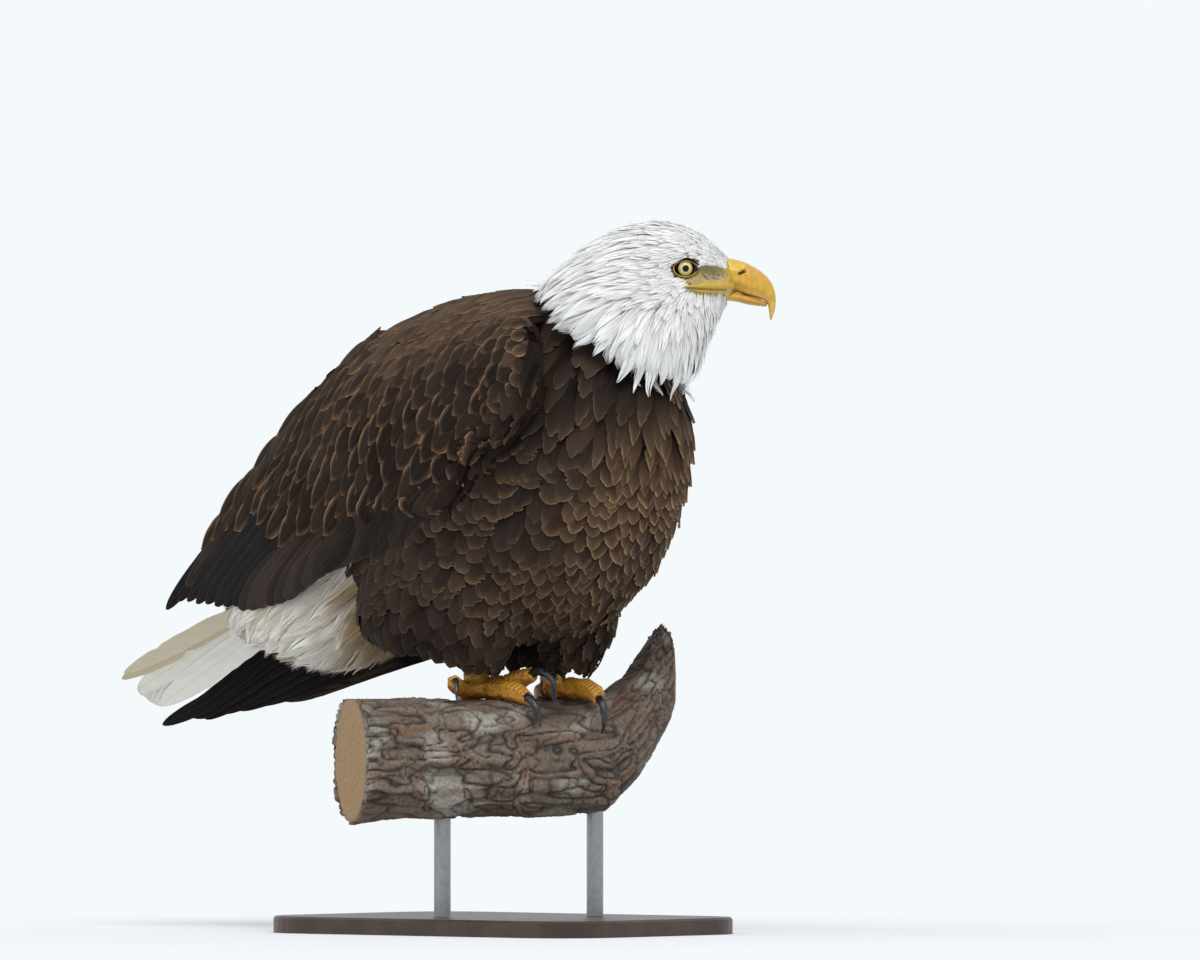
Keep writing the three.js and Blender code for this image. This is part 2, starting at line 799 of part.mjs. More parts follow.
function makeBase() {
  const [x, y, r] = [BASE.length / 2, BASE.width / 2, BASE.corner];
  const outline = new THREE.Shape();
  outline.moveTo(x - r, -y);
  outline.absarc(x - r, r - y, r, -Math.PI / 2, 0);
  outline.absarc(x - r, y - r, r, 0, Math.PI / 2);
  outline.absarc(r - x, y - r, r, Math.PI / 2, Math.PI);
  outline.absarc(r - x, r - y, r, Math.PI, 1.5 * Math.PI);
  const plate = new THREE.ExtrudeGeometry(outline, {
    depth: BASE.thick - BASE.bevel,
    bevelThickness: BASE.bevel,
    bevelSize: BASE.bevel,
    bevelOffset: -BASE.bevel,
    bevelSegments: 1,
    curveSegments: 5,
  });
  // The bevel below is cut off, so that the whole underside is flat.
  const under = new THREE.BoxGeometry(2 * x + 10, 2 * y + 10, 20);
  under.translate(0, 0, -10);
  return solid(plate)
    .subtract(solid(under))
    .translate([-BIRD_AHEAD, 0, -PERCH.top]);
}

// ---------------------------------------------------------------- the whole
const looks = {
  white_plumage: [0xd9dad8, 0.9, 0],
  brown_plumage: [0x3b2d26, 0.85, 0],
  dark_quill: [0x1d1a1a, 0.7, 0],
  tail_white: [0xd2d0c6, 0.85, 0],
  bill_yellow: [0xd9a02a, 0.45, 0],
  eye: [0xd8c98a, 0.1, 0],
  foot_yellow: [0xc98e26, 0.6, 0],
  claw_black: [0x1b1b1e, 0.35, 0],
  bark: [0x6e655d, 0.95, 0],
  stand_wood: [0x3a2a20, 0.5, 0],
  stand_steel: [0x8b8d90, 0.35, 0.9],
};
const materials = Object.fromEntries(
  Object.entries(looks).map(([name, [color, roughness, metalness]]) => [
    name,
    new THREE.MeshStandardMaterial({ name, color, roughness, metalness }),
  ]),
);

const eagle = new THREE.Group();
eagle.position.set(BIRD_AHEAD, 0, PERCH.top);

function put(name, made, look) {
  const mesh = new THREE.Mesh(geometryOf(made), materials[look]);
  mesh.name = name;
  eagle.add(mesh);
}

const { head, neck, upper, lower, eyes } = makeHead();
const wings = { right: makeWing(WING_RIGHT), left: makeWing(WING_LEFT) };
const rooms = [wings.right.room, wings.left.room];
const feet = { right: makeFoot(-1), left: makeFoot(1) };
const thighs = {
  right: beside(makeThigh(-1), ...rooms, feet.right.foot),
  left: beside(makeThigh(1), ...rooms, feet.left.foot),
};
const legs = Object.values(thighs);
const trunk = beside(makeTrunk(), neck, ...rooms, ...legs);
const quills = Object.values(wings).flatMap((wing) => [
  wing.coverts,
  wing.secondaries,
  wing.primaries,
]);
const tailCoverts = beside(makeTailCoverts(), ...quills, ...legs, trunk);
const tail = beside(makeTail(), tailCoverts, trunk, ...quills);

put("head", head, "white_plumage");
put("neck", neck, "white_plumage");
put("bill_upper", upper, "bill_yellow");
put("bill_lower", lower, "bill_yellow");
put("eye_right", eyes[0], "eye");
put("eye_left", eyes[1], "eye");
put("trunk", trunk, "brown_plumage");
put("tail_coverts", tailCoverts, "tail_white");
put("tail", tail, "tail_white");
for (const side of ["right", "left"]) {
  put(`wing_${side}_coverts`, wings[side].coverts, "brown_plumage");
  put(`wing_${side}_secondaries`, wings[side].secondaries, "dark_quill");
  put(`wing_${side}_primaries`, wings[side].primaries, "dark_quill");
  const { foot, claws } = feet[side];
  put(`thigh_${side}`, thighs[side], "brown_plumage");
  put(`foot_${side}`, foot, "foot_yellow");
  for (const [name, claw] of Object.entries(claws))
    put(`claw_${side}_${name}`, claw, "claw_black");
}

const rods = [makeRod(-1), makeRod(1)];
const gripping = Object.values(feet).flatMap(({ foot, claws }) => [
  foot,
  ...Object.values(claws),
]);
put("perch", beside(makePerch(), ...gripping, ...rods), "bark");
put("stand_rod_right", rods[0], "stand_steel");
put("stand_rod_left", rods[1], "stand_steel");
put("stand_base", makeBase(), "stand_wood");

export default eagle;
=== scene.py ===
"""A life-size bald eagle on a display perch: its looks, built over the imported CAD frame.

Lengths are millimetres in the bird's own axes: X ahead, Y to its left, Z up from the perch's top.
The skin is one closed mesh drawn from the CAD nodes of flesh. Feathers are thin vanes laid over it.
"""

import math

import bpy
import numpy as np
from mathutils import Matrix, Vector, noise
from mathutils.bvhtree import BVHTree

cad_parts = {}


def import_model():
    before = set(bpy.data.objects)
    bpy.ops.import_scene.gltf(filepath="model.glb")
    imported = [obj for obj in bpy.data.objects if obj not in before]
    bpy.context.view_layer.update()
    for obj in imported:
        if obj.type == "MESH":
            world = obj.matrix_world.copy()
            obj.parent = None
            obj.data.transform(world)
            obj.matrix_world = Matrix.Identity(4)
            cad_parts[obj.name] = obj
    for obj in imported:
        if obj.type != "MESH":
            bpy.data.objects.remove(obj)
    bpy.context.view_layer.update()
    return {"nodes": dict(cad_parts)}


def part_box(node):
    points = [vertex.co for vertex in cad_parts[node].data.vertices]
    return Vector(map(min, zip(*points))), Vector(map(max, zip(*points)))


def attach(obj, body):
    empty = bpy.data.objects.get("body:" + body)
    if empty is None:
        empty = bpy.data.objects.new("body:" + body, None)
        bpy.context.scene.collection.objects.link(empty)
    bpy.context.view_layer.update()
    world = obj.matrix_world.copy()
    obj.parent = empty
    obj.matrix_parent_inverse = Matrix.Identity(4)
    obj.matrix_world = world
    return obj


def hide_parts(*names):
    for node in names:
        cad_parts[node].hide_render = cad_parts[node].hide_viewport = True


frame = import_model()

MM = 0.001
ORIGIN = np.array([34.0, 0.0, 222.0])  # of the bird's axes in the frame, in millimetres
RIGHT, LEFT = -1, 1
UP = np.array([0.0, 0.0, 1.0])
random = np.random.default_rng(1782)
uniform = random.uniform


# ---- numbers and vectors


def unit(v):
    return v / np.maximum(np.linalg.norm(v, axis=-1, keepdims=True), 1e-9)


def norm(v):
    return np.linalg.norm(v, axis=-1)


def bell(x):
    return np.exp(-x * x)


def dot(a, b):
    return np.sum(a * b, axis=-1, keepdims=True)


def ramp(low, high, x):
    t = np.clip((x - low) / (high - low), 0, 1)
    return t * t * (3 - 2 * t)


def mix(a, b, share):
    return a + (b - a) * share


def srgb(*values):
    """A colour as it shows, 0 to 255, in linear light."""
    c = np.array(values, float) / 255
    return np.where(c <= 0.04045, c / 12.92, ((c + 0.055) / 1.055) ** 2.4)


def lines(x, table):
    """The columns of a table of rows, whose first number is x, read at x."""
    table = np.array(sorted(table), float)
    columns = [np.interp(x, table[:, 0], table[:, i]) for i in range(1, table.shape[1])]
    return columns if len(columns) > 1 else columns[0]


def field(where, rows, soft=12.0):
    """Columns of numbers read near where: each row holds two coordinates, then its numbers."""
    rows = np.array(rows, float)
    away = ((where[:, None] - rows[None, :, :2]) ** 2).sum(2) + soft**2
    share = away**-2.0
    share /= share.sum(1, keepdims=True)
    return (share @ rows[:, 2:]).T


def jitter(count, spread):
    return uniform(-spread, spread, count)


def pick(index, *arrays):
    return [values[index] for values in arrays]


def filled(count, *values):
    """Numbers or arrays, each as an array of count numbers."""
    return [np.broadcast_to(value, (count,)) for value in values]


def sided(name, side):
    return name + ("_left" if side == LEFT else "_right")


# ---- meshes


def node_shape(node):
    """Points and faces of a CAD node, with the points that lie together made one."""
    mesh = frame["nodes"][node].data
    points = np.array([v.co for v in mesh.vertices]) / MM - ORIGIN
    _, first, place = np.unique(np.round(points, 2), axis=0, return_index=True, return_inverse=True)
    place = place.ravel()
    faces = [[int(place[i]) for i in p.vertices] for p in mesh.polygons]
    return points[first], [f for f in faces if len(set(f)) == len(f)]


def set_points(mesh, points):
    mesh.vertices.foreach_set("co", np.ravel(points).astype(np.float32))
    mesh.update()


def get_points(mesh, key="co"):
    values = np.zeros(len(mesh.vertices) * 3, np.float32)
    mesh.vertices.foreach_get(key, values)
    return values.reshape(-1, 3).astype(float)


def get_normals(mesh):
    return get_points(mesh, "normal")


def rough_mesh(points, faces):
    mesh = bpy.data.meshes.new("rough")
    mesh.from_pydata(np.array(points).tolist(), [], faces)
    return mesh


def joined_shapes(nodes, grow=0.0):
    """The shapes of several nodes in one list of points and faces, each grown outwards."""
    points, faces, count = [], [], 0
    for node in nodes:
        own_points, own_faces = node_shape(node)
        mesh = rough_mesh(own_points, own_faces)
        points.append(own_points + get_normals(mesh) * grow)
        bpy.data.meshes.remove(mesh)
        faces += [[i + count for i in face] for face in own_faces]
        count += len(own_points)
    return np.vstack(points), faces


def linked(name, data):
    """A new object in the scene."""
    piece = bpy.data.objects.new(name, data)
    bpy.context.scene.collection.objects.link(piece)
    return piece


def modified(name, mesh, **modifiers):
    """The smooth mesh that modifiers make of another one, which goes."""
    holder = linked("holder", mesh)
    for kind, settings in modifiers.items():
        modifier = holder.modifiers.new(kind, kind)
        for key, value in settings.items():
            setattr(modifier, key, value)
    made = bpy.data.meshes.new_from_object(holder.evaluated_get(bpy.context.evaluated_depsgraph_get()))
    made.name = name
    made.polygons.foreach_set("use_smooth", np.ones(len(made.polygons), bool))
    bpy.data.objects.remove(holder)
    bpy.data.meshes.remove(mesh)
    return made


def remeshed(name, nodes, voxel, smoothing, grow=0.5):
    """One closed mesh of evenly sized faces around several CAD nodes, in millimetres."""
    return modified(name, rough_mesh(*joined_shapes(nodes, grow)), REMESH={"mode": "VOXEL", "voxel_size": voxel},
                    SMOOTH={"factor": 0.5, "iterations": smoothing})


def quads_mesh(name, points, quads):
    """A smooth mesh of quads. points are in millimetres in the bird's axes."""
    mesh = bpy.data.meshes.new(name)
    mesh.vertices.add(len(points))
    mesh.loops.add(len(quads) * 4)
    mesh.polygons.add(len(quads))
    mesh.vertices.foreach_set("co", ((points + ORIGIN) * MM).astype(np.float32).ravel())
    mesh.loops.foreach_set("vertex_index", quads.astype(np.int32).ravel())
    mesh.polygons.foreach_set("loop_start", np.arange(len(quads), dtype=np.int32) * 4)
    mesh.polygons.foreach_set("use_smooth", np.ones(len(quads), bool))
    mesh.update(calc_edges=True)
    return mesh


def sheet(name, points, closed=False):
    """A mesh of rows of points. Each row of a closed one ends where it starts."""
    grid = np.arange(points[..., 0].size).reshape(points.shape[:2])
    if closed:
        grid = np.hstack([grid, grid[:, :1]])
    quads = np.stack([grid[:-1, :-1], grid[1:, :-1], grid[1:, 1:], grid[:-1, 1:]], -1)
    return quads_mesh(name, points.reshape(-1, 3), quads.reshape(-1, 4))


def uv_map(mesh, name, uv):
    """uv holds a pair for each point."""
    index = np.zeros(len(mesh.loops), np.int32)
    mesh.loops.foreach_get("vertex_index", index)
    mesh.uv_layers.new(name=name).data.foreach_set("uv", uv[index].astype(np.float32).ravel())


def show(name, mesh, material, replaces=(), points=None, tint=None):
    """A finished piece of the model, with its points in the bird's axes and their tint in linear light."""
    if points is not None:
        set_points(mesh, (points + ORIGIN) * MM)
    if tint is not None:
        full = np.ones((len(mesh.vertices), 4), np.float32)
        full[:, :3] = np.reshape(tint, (-1, 3))
        mesh.color_attributes.new("tint", "FLOAT_COLOR", "POINT").data.foreach_set("color", full.ravel())
    mesh.materials.append(material)
    piece = linked(name, mesh)
    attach(piece, "root")
    if replaces:
        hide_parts(*replaces)


# ---- surfaces to lie on


class Surface:
    """A mesh that feathers are laid on."""

    def __init__(self, points, faces, normals):
        self.tree = BVHTree.FromPolygons(points.tolist(), faces)
        self.face_normal = unit(np.array([normals[list(f)].mean(0) for f in faces]))
        self.points = points
        self.faces = faces

    def nearest(self, where):
        """The nearest points on the surface, and the smoothed normals there."""
        found = [self.tree.find_nearest(Vector(p)) for p in where]
        at = np.array([f[0] for f in found])
        return at, self.face_normal[[f[2] for f in found]]

    def beside(self, x, z, side):
        """The points seen from that side of the bird at x and z, or nearest to them, and the normals there."""
        far = side * 400.0
        towards = Vector((0, -side, 0))
        at, normals = np.zeros((len(x), 3)), np.zeros((len(x), 3))
        for i, (px, pz) in enumerate(zip(x, z)):
            hit = self.tree.ray_cast(Vector((px, far, pz)), towards)
            if hit[0] is None:
                hit = self.tree.find_nearest(Vector((px, side * 70, pz)))
            at[i] = hit[0]
            normals[i] = self.face_normal[hit[2]]
        flat = normals[:, 1] * side < 0.3
        normals[flat] = unit(normals[flat] + np.array([0, side * 0.8, 0]))
        return at, normals


def mesh_surface(mesh):
    faces = [list(p.vertices) for p in mesh.polygons]
    return Surface(get_points(mesh), faces, get_normals(mesh))


def nodes_surface(nodes, other=None):
    """The surface of several CAD nodes, and of another surface with them."""
    points, faces = joined_shapes(nodes)
    if other is not None:
        faces = other.faces + [[i + len(other.points) for i in face] for face in faces]
        points = np.vstack([other.points, points])
    mesh = rough_mesh(points, faces)
    surface = mesh_surface(mesh)
    bpy.data.meshes.remove(mesh)
    return surface


# ---- the unwrap of the skin

SPINE = np.array([[215, 83, 385], [150, 25, 405], [100, 0, 350], [40, 0, 290],
                  [-60, 0, 220], [-170, 0, 165], [-300, 0, 95], [-480, 0, 0]], float)


def unwrap(points):
    """Where points lie on the bird: u from the bill to the tail, v around the spine."""
    ends, starts = SPINE[1:], SPINE[:-1]
    span = ends - starts
    lengths = norm(span)
    before = np.concatenate([[0], np.cumsum(lengths)])[:-1]
    best, along, off = np.full(len(points), 1e9), np.zeros(len(points)), np.zeros((len(points), 3))
    for i in range(len(span)):
        t = np.clip((points - starts[i]) @ span[i] / lengths[i] ** 2, 0, 1)
        away = points - (starts[i] + t[:, None] * span[i])
        distance = norm(away)
        closer = distance < best
        best[closer] = distance[closer]
        along[closer] = (before[i] + t * lengths[i])[closer]
        off[closer] = away[closer]
    around = np.arctan2(off[:, 1], off[:, 2] * 0.8 + off[:, 0] * 0.6)
    return np.stack([0.01 + 0.97 * along / lengths.sum(), 0.01 + 0.97 * (around / (2 * np.pi) + 0.5)], 1)


# ---- feathers

PATCH = 0.003  # of the bake's unwrap that one feather takes
VANE = np.array([-1, -0.55, 0, 0.55, 1.0])  # the columns of a vane's points, from edge to edge
HAIR = np.array([-1, 1.0])


def tip_rows(rows):
    """Places along a vane, closer together towards the tip."""
    return 1 - (1 - np.linspace(0, 1, rows + 1)) ** 1.5


def ripple(at, size, seed=0.0):
    """Smooth noise, from about -1 to 1, with waves of that size."""
    start = Vector((seed, seed, seed))
    return np.array([noise.noise(Vector(p) / size + start) for p in at])


def on_surface(direction, normal):
    return unit(direction - dot(direction, normal) * normal)


def turned(flow, normal, angle):
    """Directions on the surface, turned about its normals."""
    return on_surface(flow + np.cross(normal, flow) * np.reshape(angle, (-1, 1)), normal)


def lay(surface, root, direction, length, rows, depth, rise=0.0, droop=0.0, free=0.0):
    """Walks lines over a surface from their roots. They start at depth under it and end rise over it.

    free is the share, from 0 to 1, of their own straight way that they keep instead of the surface's.
    """
    t = tip_rows(rows)
    count = len(root)
    path, normals = np.zeros((2, count, rows + 1, 3))
    at, heading = root.copy(), direction.copy()
    free = filled(count, free)[0][:, None]
    for i in range(rows + 1):
        found, normal = surface.nearest(at)
        at = mix(found, at, free * (dot(at - found, normal) > 0))
        heading = unit(mix(on_surface(heading, normal), heading, free))
        path[:, i], normals[:, i] = at, normal
        if i < rows:
            at = at + heading * (length * (t[i + 1] - t[i]))[:, None]
            heading = unit(heading - UP * droop / rows)
    normals = unit(normals + (1 + 8 * free[..., None]) * normals.mean(1, keepdims=True))
    low, high = (v[:, None] for v in filled(count, depth, rise))
    return path + normals * (high * t**2 - low * (1 - t))[:, :, None], normals


def spread_over(points, flow, across, along, key=None):
    """Chooses points so that each has its own room: across its flow, and along it. A key packs them in its order."""
    chosen, taken = [], np.zeros((len(points), 3))
    across, along = filled(len(points), across, along)
    for i in random.permutation(len(points)) if key is None else np.argsort(key):
        d = taken[: len(chosen)] - points[i]
        a = d @ flow[i]
        aside = np.einsum("ij,ij->i", d, d) - a * a
        if len(chosen) and np.any(aside / across[i] ** 2 + (a / along[i]) ** 2 < 1):
            continue
        taken[len(chosen)] = points[i]
        chosen.append(i)
    return np.array(chosen, int)


STRAND = {"round_to": 1.2, "pinch": 1.0, "widest": 0.35, "foot": 0.6}


class Feathers:
    """Feathers of one kind: their centre lines, their forms and their colours, as arrays of points."""

    def __init__(self, path, normal, half, tint, fringe=0.0, columns=VANE, round_to=2.0, pinch=0.5, widest=0.55,
                 foot=0.35, camber=0.25, ragged=0.0, splits=0.0, roll=0.0, painted_root_shade=0.6, edged=(0.15, 0.6)):
        count, rows = path.shape[:2]
        t = tip_rows(rows - 1)

        def each(value):
            return filled(count, value)[0][:, None]

        tangent = unit(np.gradient(path, axis=1))
        side = unit(np.cross(normal, tangent))
        upright = unit(np.cross(tangent, side))
        tilt = each(roll)[..., None]
        side, upright = side * np.cos(tilt) + upright * np.sin(tilt), upright * np.cos(tilt) - side * np.sin(tilt)
        past = np.clip((t - widest) / (1 - widest), 0, 1)[None]
        outline = np.maximum(1 - past ** each(round_to), 0) ** each(pinch)
        width = each(half) * np.maximum(outline * mix(foot, 1, ramp(0, widest, t)), 0.05)
        share = np.broadcast_to(columns, (count, rows, len(columns))).copy()
        slip = np.zeros_like(share)
        if ragged:
            rough = uniform(-1, 1, (count, rows, 2)) * ragged
            share[:, 1:, 0] *= 1 + rough[:, 1:, 0]
            share[:, 1:, -1] *= 1 + rough[:, 1:, 1]
            slip[:, 1:, [0, -1]] = np.abs(rough[:, 1:]) * width[:, 1:, None] * 0.8
        if np.any(splits):
            for edge, inner in ((0, 1), (-1, -2)):
                cut = (uniform(0, 1, (count, rows)) < each(splits)) & (t > 0.5) & (t < 0.985)
                share[:, :, edge] *= np.where(cut, uniform(0.66, 0.84, (count, rows)), 1)
                share[:, :, inner] *= np.where(cut, 0.9, 1)
        bend = camber * each(half)[..., None] * share**2
        aside = share * width[:, :, None]
        self.points = (
            path[:, :, None] + side[:, :, None] * aside[..., None]
            - upright[:, :, None] * bend[..., None] + tangent[:, :, None] * slip[..., None]
        )
        length = norm(np.diff(path, axis=1)).sum(1)[:, None, None]
        along = t[None, :, None] * length + 0 * share
        self.rim = np.minimum(width[:, :, None] * (1 - np.abs(columns)), length - along)
        self.vane = np.stack([aside, along], -1) * 0.1
        patch = np.stack([share * 0.45, t[None, :, None] - 0.5 + 0 * share], -1)
        self.bake = unwrap(path[:, 0])[:, None, None] + PATCH * patch
        # painted shade: each feather darkens towards its root, where the feathers over it shade it
        shade = mix(painted_root_shade, 1, ramp(0.15, 0.85, t))[None, :, None, None]
        self.tint = np.reshape(tint, (-1, 1, 1, 3)) * shade + 0 * self.points
        self.fringe = each(fringe)[..., None] * ramp(*edged, t)[None, :, None] + 0 * share


def feather_piece(name, batches, material, replaces=()):
    """Joins batches of feathers in one mesh."""
    quads, before = [], 0
    for batch in batches:
        grid = np.arange(batch.rim.size).reshape(batch.rim.shape) + before
        ring = [grid[:, :-1, :-1], grid[:, :-1, 1:], grid[:, 1:, 1:], grid[:, 1:, :-1]]
        quads.append(np.stack(ring, -1).reshape(-1, 4))
        before += grid.size

    def all_of(key, width):
        return np.vstack([getattr(batch, key).reshape(-1, width) for batch in batches])

    mesh = quads_mesh(name, all_of("points", 3), np.vstack(quads))
    uv_map(mesh, "OFBake", all_of("bake", 2))
    uv_map(mesh, "vane", all_of("vane", 2))
    for key in ("rim", "fringe"):
        values = all_of(key, 1).astype(np.float32)
        mesh.attributes.new(key, "FLOAT", "POINT").data.foreach_set("value", values.ravel())
    show(name, mesh, material, replaces, tint=all_of("tint", 3))


# ---- materials


class Nodes:
    """A short way to write the nodes of a material or a world. An input is a number, a colour, a socket or a node."""

    def __init__(self, owner, output="OutputMaterial"):
        self.owner = bpy.data.materials.new(owner) if isinstance(owner, str) else owner
        self.owner.use_nodes = True
        self.tree = self.owner.node_tree
        self.tree.nodes.clear()
        self.out = self.add(output)

    def put(self, value, socket):
        if isinstance(value, bpy.types.Node):
            value = value.outputs[0]
        if isinstance(value, bpy.types.NodeSocket):
            self.tree.links.new(value, socket)
        elif value is not None:
            socket.default_value = (*value, 1) if socket.type == "RGBA" else value

    def add(self, kind, *inputs, **values):
        """A node, with its first inputs in their order, and its settings and other inputs by name."""
        node = self.tree.nodes.new("ShaderNode" + kind)
        for key, value in values.items():
            if hasattr(node, key):
                setattr(node, key, value)
            else:
                self.put(value, node.inputs[key.replace("_", " ")])
        for value, socket in zip(inputs, node.inputs):
            self.put(value, socket)
        return node

    def math(self, operation, *inputs):
        return self.add("Math", *inputs, operation=operation)

    def mix(self, share, a, b):
        node = self.add("Mix", share, data_type="RGBA")
        self.put(a, node.inputs[6])
        self.put(b, node.inputs[7])
        return node.outputs[2]

    def step(self, value, low, high, to_low=0.0, to_high=1.0):
        return self.add("MapRange", value, low, high, to_low, to_high, interpolation_type="SMOOTHSTEP")

    def attribute(self, name, output="Fac"):
        return self.add("Attribute", attribute_name=name).outputs[output]

    def noise(self, vector, scale, detail=3.0, roughness=0.55):
        vector = vector or self.where()
        return self.add("TexNoise", Vector=vector, Scale=scale, Detail=detail, Roughness=roughness).outputs["Fac"]

    def where(self):
        return self.add("TexCoord").outputs["Object"]

    def grained(self, colour):
        """A colour with a little grain in it."""
        return self.mix(self.step(self.noise(None, 150.0, 2.0), 0.3, 0.7), colour * 0.85, colour * 1.1)

    def shaded(self, colour, share):
        """A colour made darker or paler."""
        return self.add("VectorMath", colour, operation="SCALE", Scale=share)

    def bump(self, height, strength, distance):
        return self.add("Bump", Strength=strength, Distance=distance, Height=height)

    def ended(self, shader):
        self.put(shader, self.out.inputs["Surface"])
        return self.owner

    def finish(self, colour, roughness, normal, **fixed):
        return self.ended(self.add("BsdfPrincipled", Base_Color=colour, Roughness=roughness, Normal=normal, **fixed))


def feather_material(name, rim_colour, rim, inner=None, shaft=None, rough=0.75, barbs=0.35, depth=0.5, streaks=False):
    """Vanes: their tint with barbs, a pale rim, a warmer band inside it and a shaft."""
    n = Nodes(name)
    aside, along, _ = n.add("SeparateXYZ", n.add("UVMap", uv_map="vane")).outputs
    if streaks:
        lie = n.math("MULTIPLY", aside, 9.0), n.math("MULTIPLY", along, 0.25)
    else:
        slope = n.math("MULTIPLY_ADD", n.math("ABSOLUTE", aside), -1.1, along)
        lie = n.math("MULTIPLY", aside, 0.35), n.math("MULTIPLY", slope, 3.6)
    barb = n.noise(n.add("CombineXYZ", *lie), 5.0, 2.0, 0.6)

    def varied(value, share, about=1.0):
        return n.math("MULTIPLY_ADD", n.math("SUBTRACT", value, 0.5), share, about)

    ruffled = varied(barb, 1.6, n.attribute("rim"))
    fringe = n.attribute("fringe")
    shade = n.math("MULTIPLY", varied(barb, barbs), varied(n.noise(None, 60.0, 2.0, 0.5), depth))
    colour = n.shaded(n.attribute("tint", "Color"), shade)
    if inner is not None:
        band = n.math("MULTIPLY", n.step(ruffled, rim * 6.5, rim * 0.5), fringe)
        colour = n.mix(band, colour, n.shaded(n.grained(inner), shade))
    pale = n.math("MULTIPLY", n.step(ruffled, rim * 1.7, rim * 0.1), n.math("MULTIPLY", fringe, 0.85))
    colour = n.mix(pale, colour, n.shaded(n.grained(rim_colour), shade))
    if shaft is not None:
        line = n.step(n.math("ABSOLUTE", aside), 0.06, 0.025)
        colour = n.mix(n.math("MULTIPLY", line, shaft[1]), colour, shaft[0])
    return n.finish(colour, rough, n.bump(barb, 0.4, 0.0006), Specular_IOR_Level=0.06)


def tinted(name, scale, detail, shades, rough, bump, edges=(0.3, 0.7), stretch=None, roughness=0.55, **fixed):
    """The mesh's own tint with a grain, which goes from the first shade to the last. rough may have two ends too."""
    n = Nodes(name)
    grain = n.noise(stretch and n.add("Mapping", n.where(), Scale=stretch), scale, detail, roughness)
    colour = n.shaded(n.attribute("tint", "Color"), n.step(grain, *edges, *shades))
    rough = n.step(grain, 0.3, 0.7, *rough) if isinstance(rough, tuple) else rough
    return n.finish(colour, rough, bump and n.bump(grain, *bump), **fixed)


def horn_material(name, scale, rough, bump=0.25):
    return tinted(name, scale, 4.0, (0.88, 1.1), (rough * 0.85, rough * 1.2), (bump, 0.0004), stretch=(1, 1, 0.35),
                  roughness=0.6)


def plain_material(name, colour, other, scale, rough, metallic=0.0):
    n = Nodes(name)
    fine = n.noise(None, scale * 6, 3.0, 0.6)
    tone = n.mix(n.step(n.noise(None, scale, 4.0, 0.6), 0.35, 0.65), colour, other)
    roughness = n.step(fine, 0.2, 0.8, rough * 0.85, rough * 1.15)
    return n.finish(tone, roughness, n.bump(fine, 0.2, 0.0006), Metallic=metallic)


# ---- the form under the coat

FLESH = [
    "head", "neck", "trunk", "tail_coverts", "thigh_right", "thigh_left", "wing_right_coverts", "wing_left_coverts"]
form_mesh = remeshed("form", FLESH, 3.4, 8)
form = mesh_surface(form_mesh)


def bridged(steps, evened):
    """The form with its creases filled, for the coat to lie over. Its faces are the form's own."""
    mesh = form_mesh.copy()
    for iterations in steps:
        mesh = modified("bridge", mesh, SMOOTH={"iterations": iterations})
        points = get_points(mesh)
        found, normal = form.nearest(points)
        set_points(mesh, np.where(dot(points - found, normal) < 0, found, points))
    surface = mesh_surface(mesh)
    # its normals are evened out, so that feathers don't crumple in what is left of the creases
    faces, normals = np.array(surface.faces), get_normals(mesh)
    for _ in range(evened):
        surface.face_normal = unit(normals[faces].mean(1))
        normals = np.zeros_like(normals)
        for corner in faces.T:
            np.add.at(normals, corner, surface.face_normal)
        normals = unit(normals)
    return surface


hull = bridged((140, 20, 5), 5)
plump = bridged((60, 60, 60, 60, 60, 20, 5), 12)  # for the body's feathers, which puff out over the creases
face_middles = np.array([hull.points[f].mean(0) for f in hull.faces])
face_areas = np.array([p.area for p in form_mesh.polygons])
gaps = [norm(face_middles - nodes_surface([n]).nearest(face_middles)[0]) for n in FLESH]
face_owner = np.argmin(gaps, 0)
WING_COVERTS = FLESH[-2:]


def owned_by(*names):
    """The faces of the form that stand for these nodes."""
    return np.isin(face_owner, [FLESH.index(name) for name in names])


HEAD_YAW, NECK_YAW = 40, 20  # degrees to the bird's left
NECK_PIVOT = 118  # X of the upright axis that the head turns about
HEAD_TURN = math.radians(HEAD_YAW)
HEAD_AHEAD = np.array([math.cos(HEAD_TURN), math.sin(HEAD_TURN), 0])
HEAD_LEFT = np.array([-math.sin(HEAD_TURN), math.cos(HEAD_TURN), 0])


def head_place(points):
    """How far points are ahead in the turned head's own plane, and their heights. Both sides are alike."""
    yaw = mix(NECK_YAW, HEAD_YAW, ramp(340, 410, points[:, 2]))
    turn, rest = np.radians(yaw), np.radians(HEAD_YAW - yaw)
    x, y = points[:, 0] - NECK_PIVOT, points[:, 1]
    ahead, left = x * np.cos(turn) + y * np.sin(turn), y * np.cos(turn) - x * np.sin(turn)
    return np.stack([ahead * np.cos(rest) - np.abs(left) * np.sin(rest), points[:, 2]], 1)


# the white coat's lower hem: ahead, height
HEM = [[-140, 440], [-92, 398], [-77, 384], [-59, 354], [-24, 338],
       [-12, 318], [14, 302], [38, 300], [61, 306], [80, 318]]
EYE_PLACE = np.array([55.5, 409.0])  # in the head's plane
LORE = {"middle": (79, 401), "reach": 21, "height": 10.5}
GAPE = np.array([[56, 390.5], [70, 389.2], [85, 388.6], [100, 388.2]])


def over_hem(points):
    place = head_place(points)
    return place[:, 1] - lines(place[:, 0], HEM)


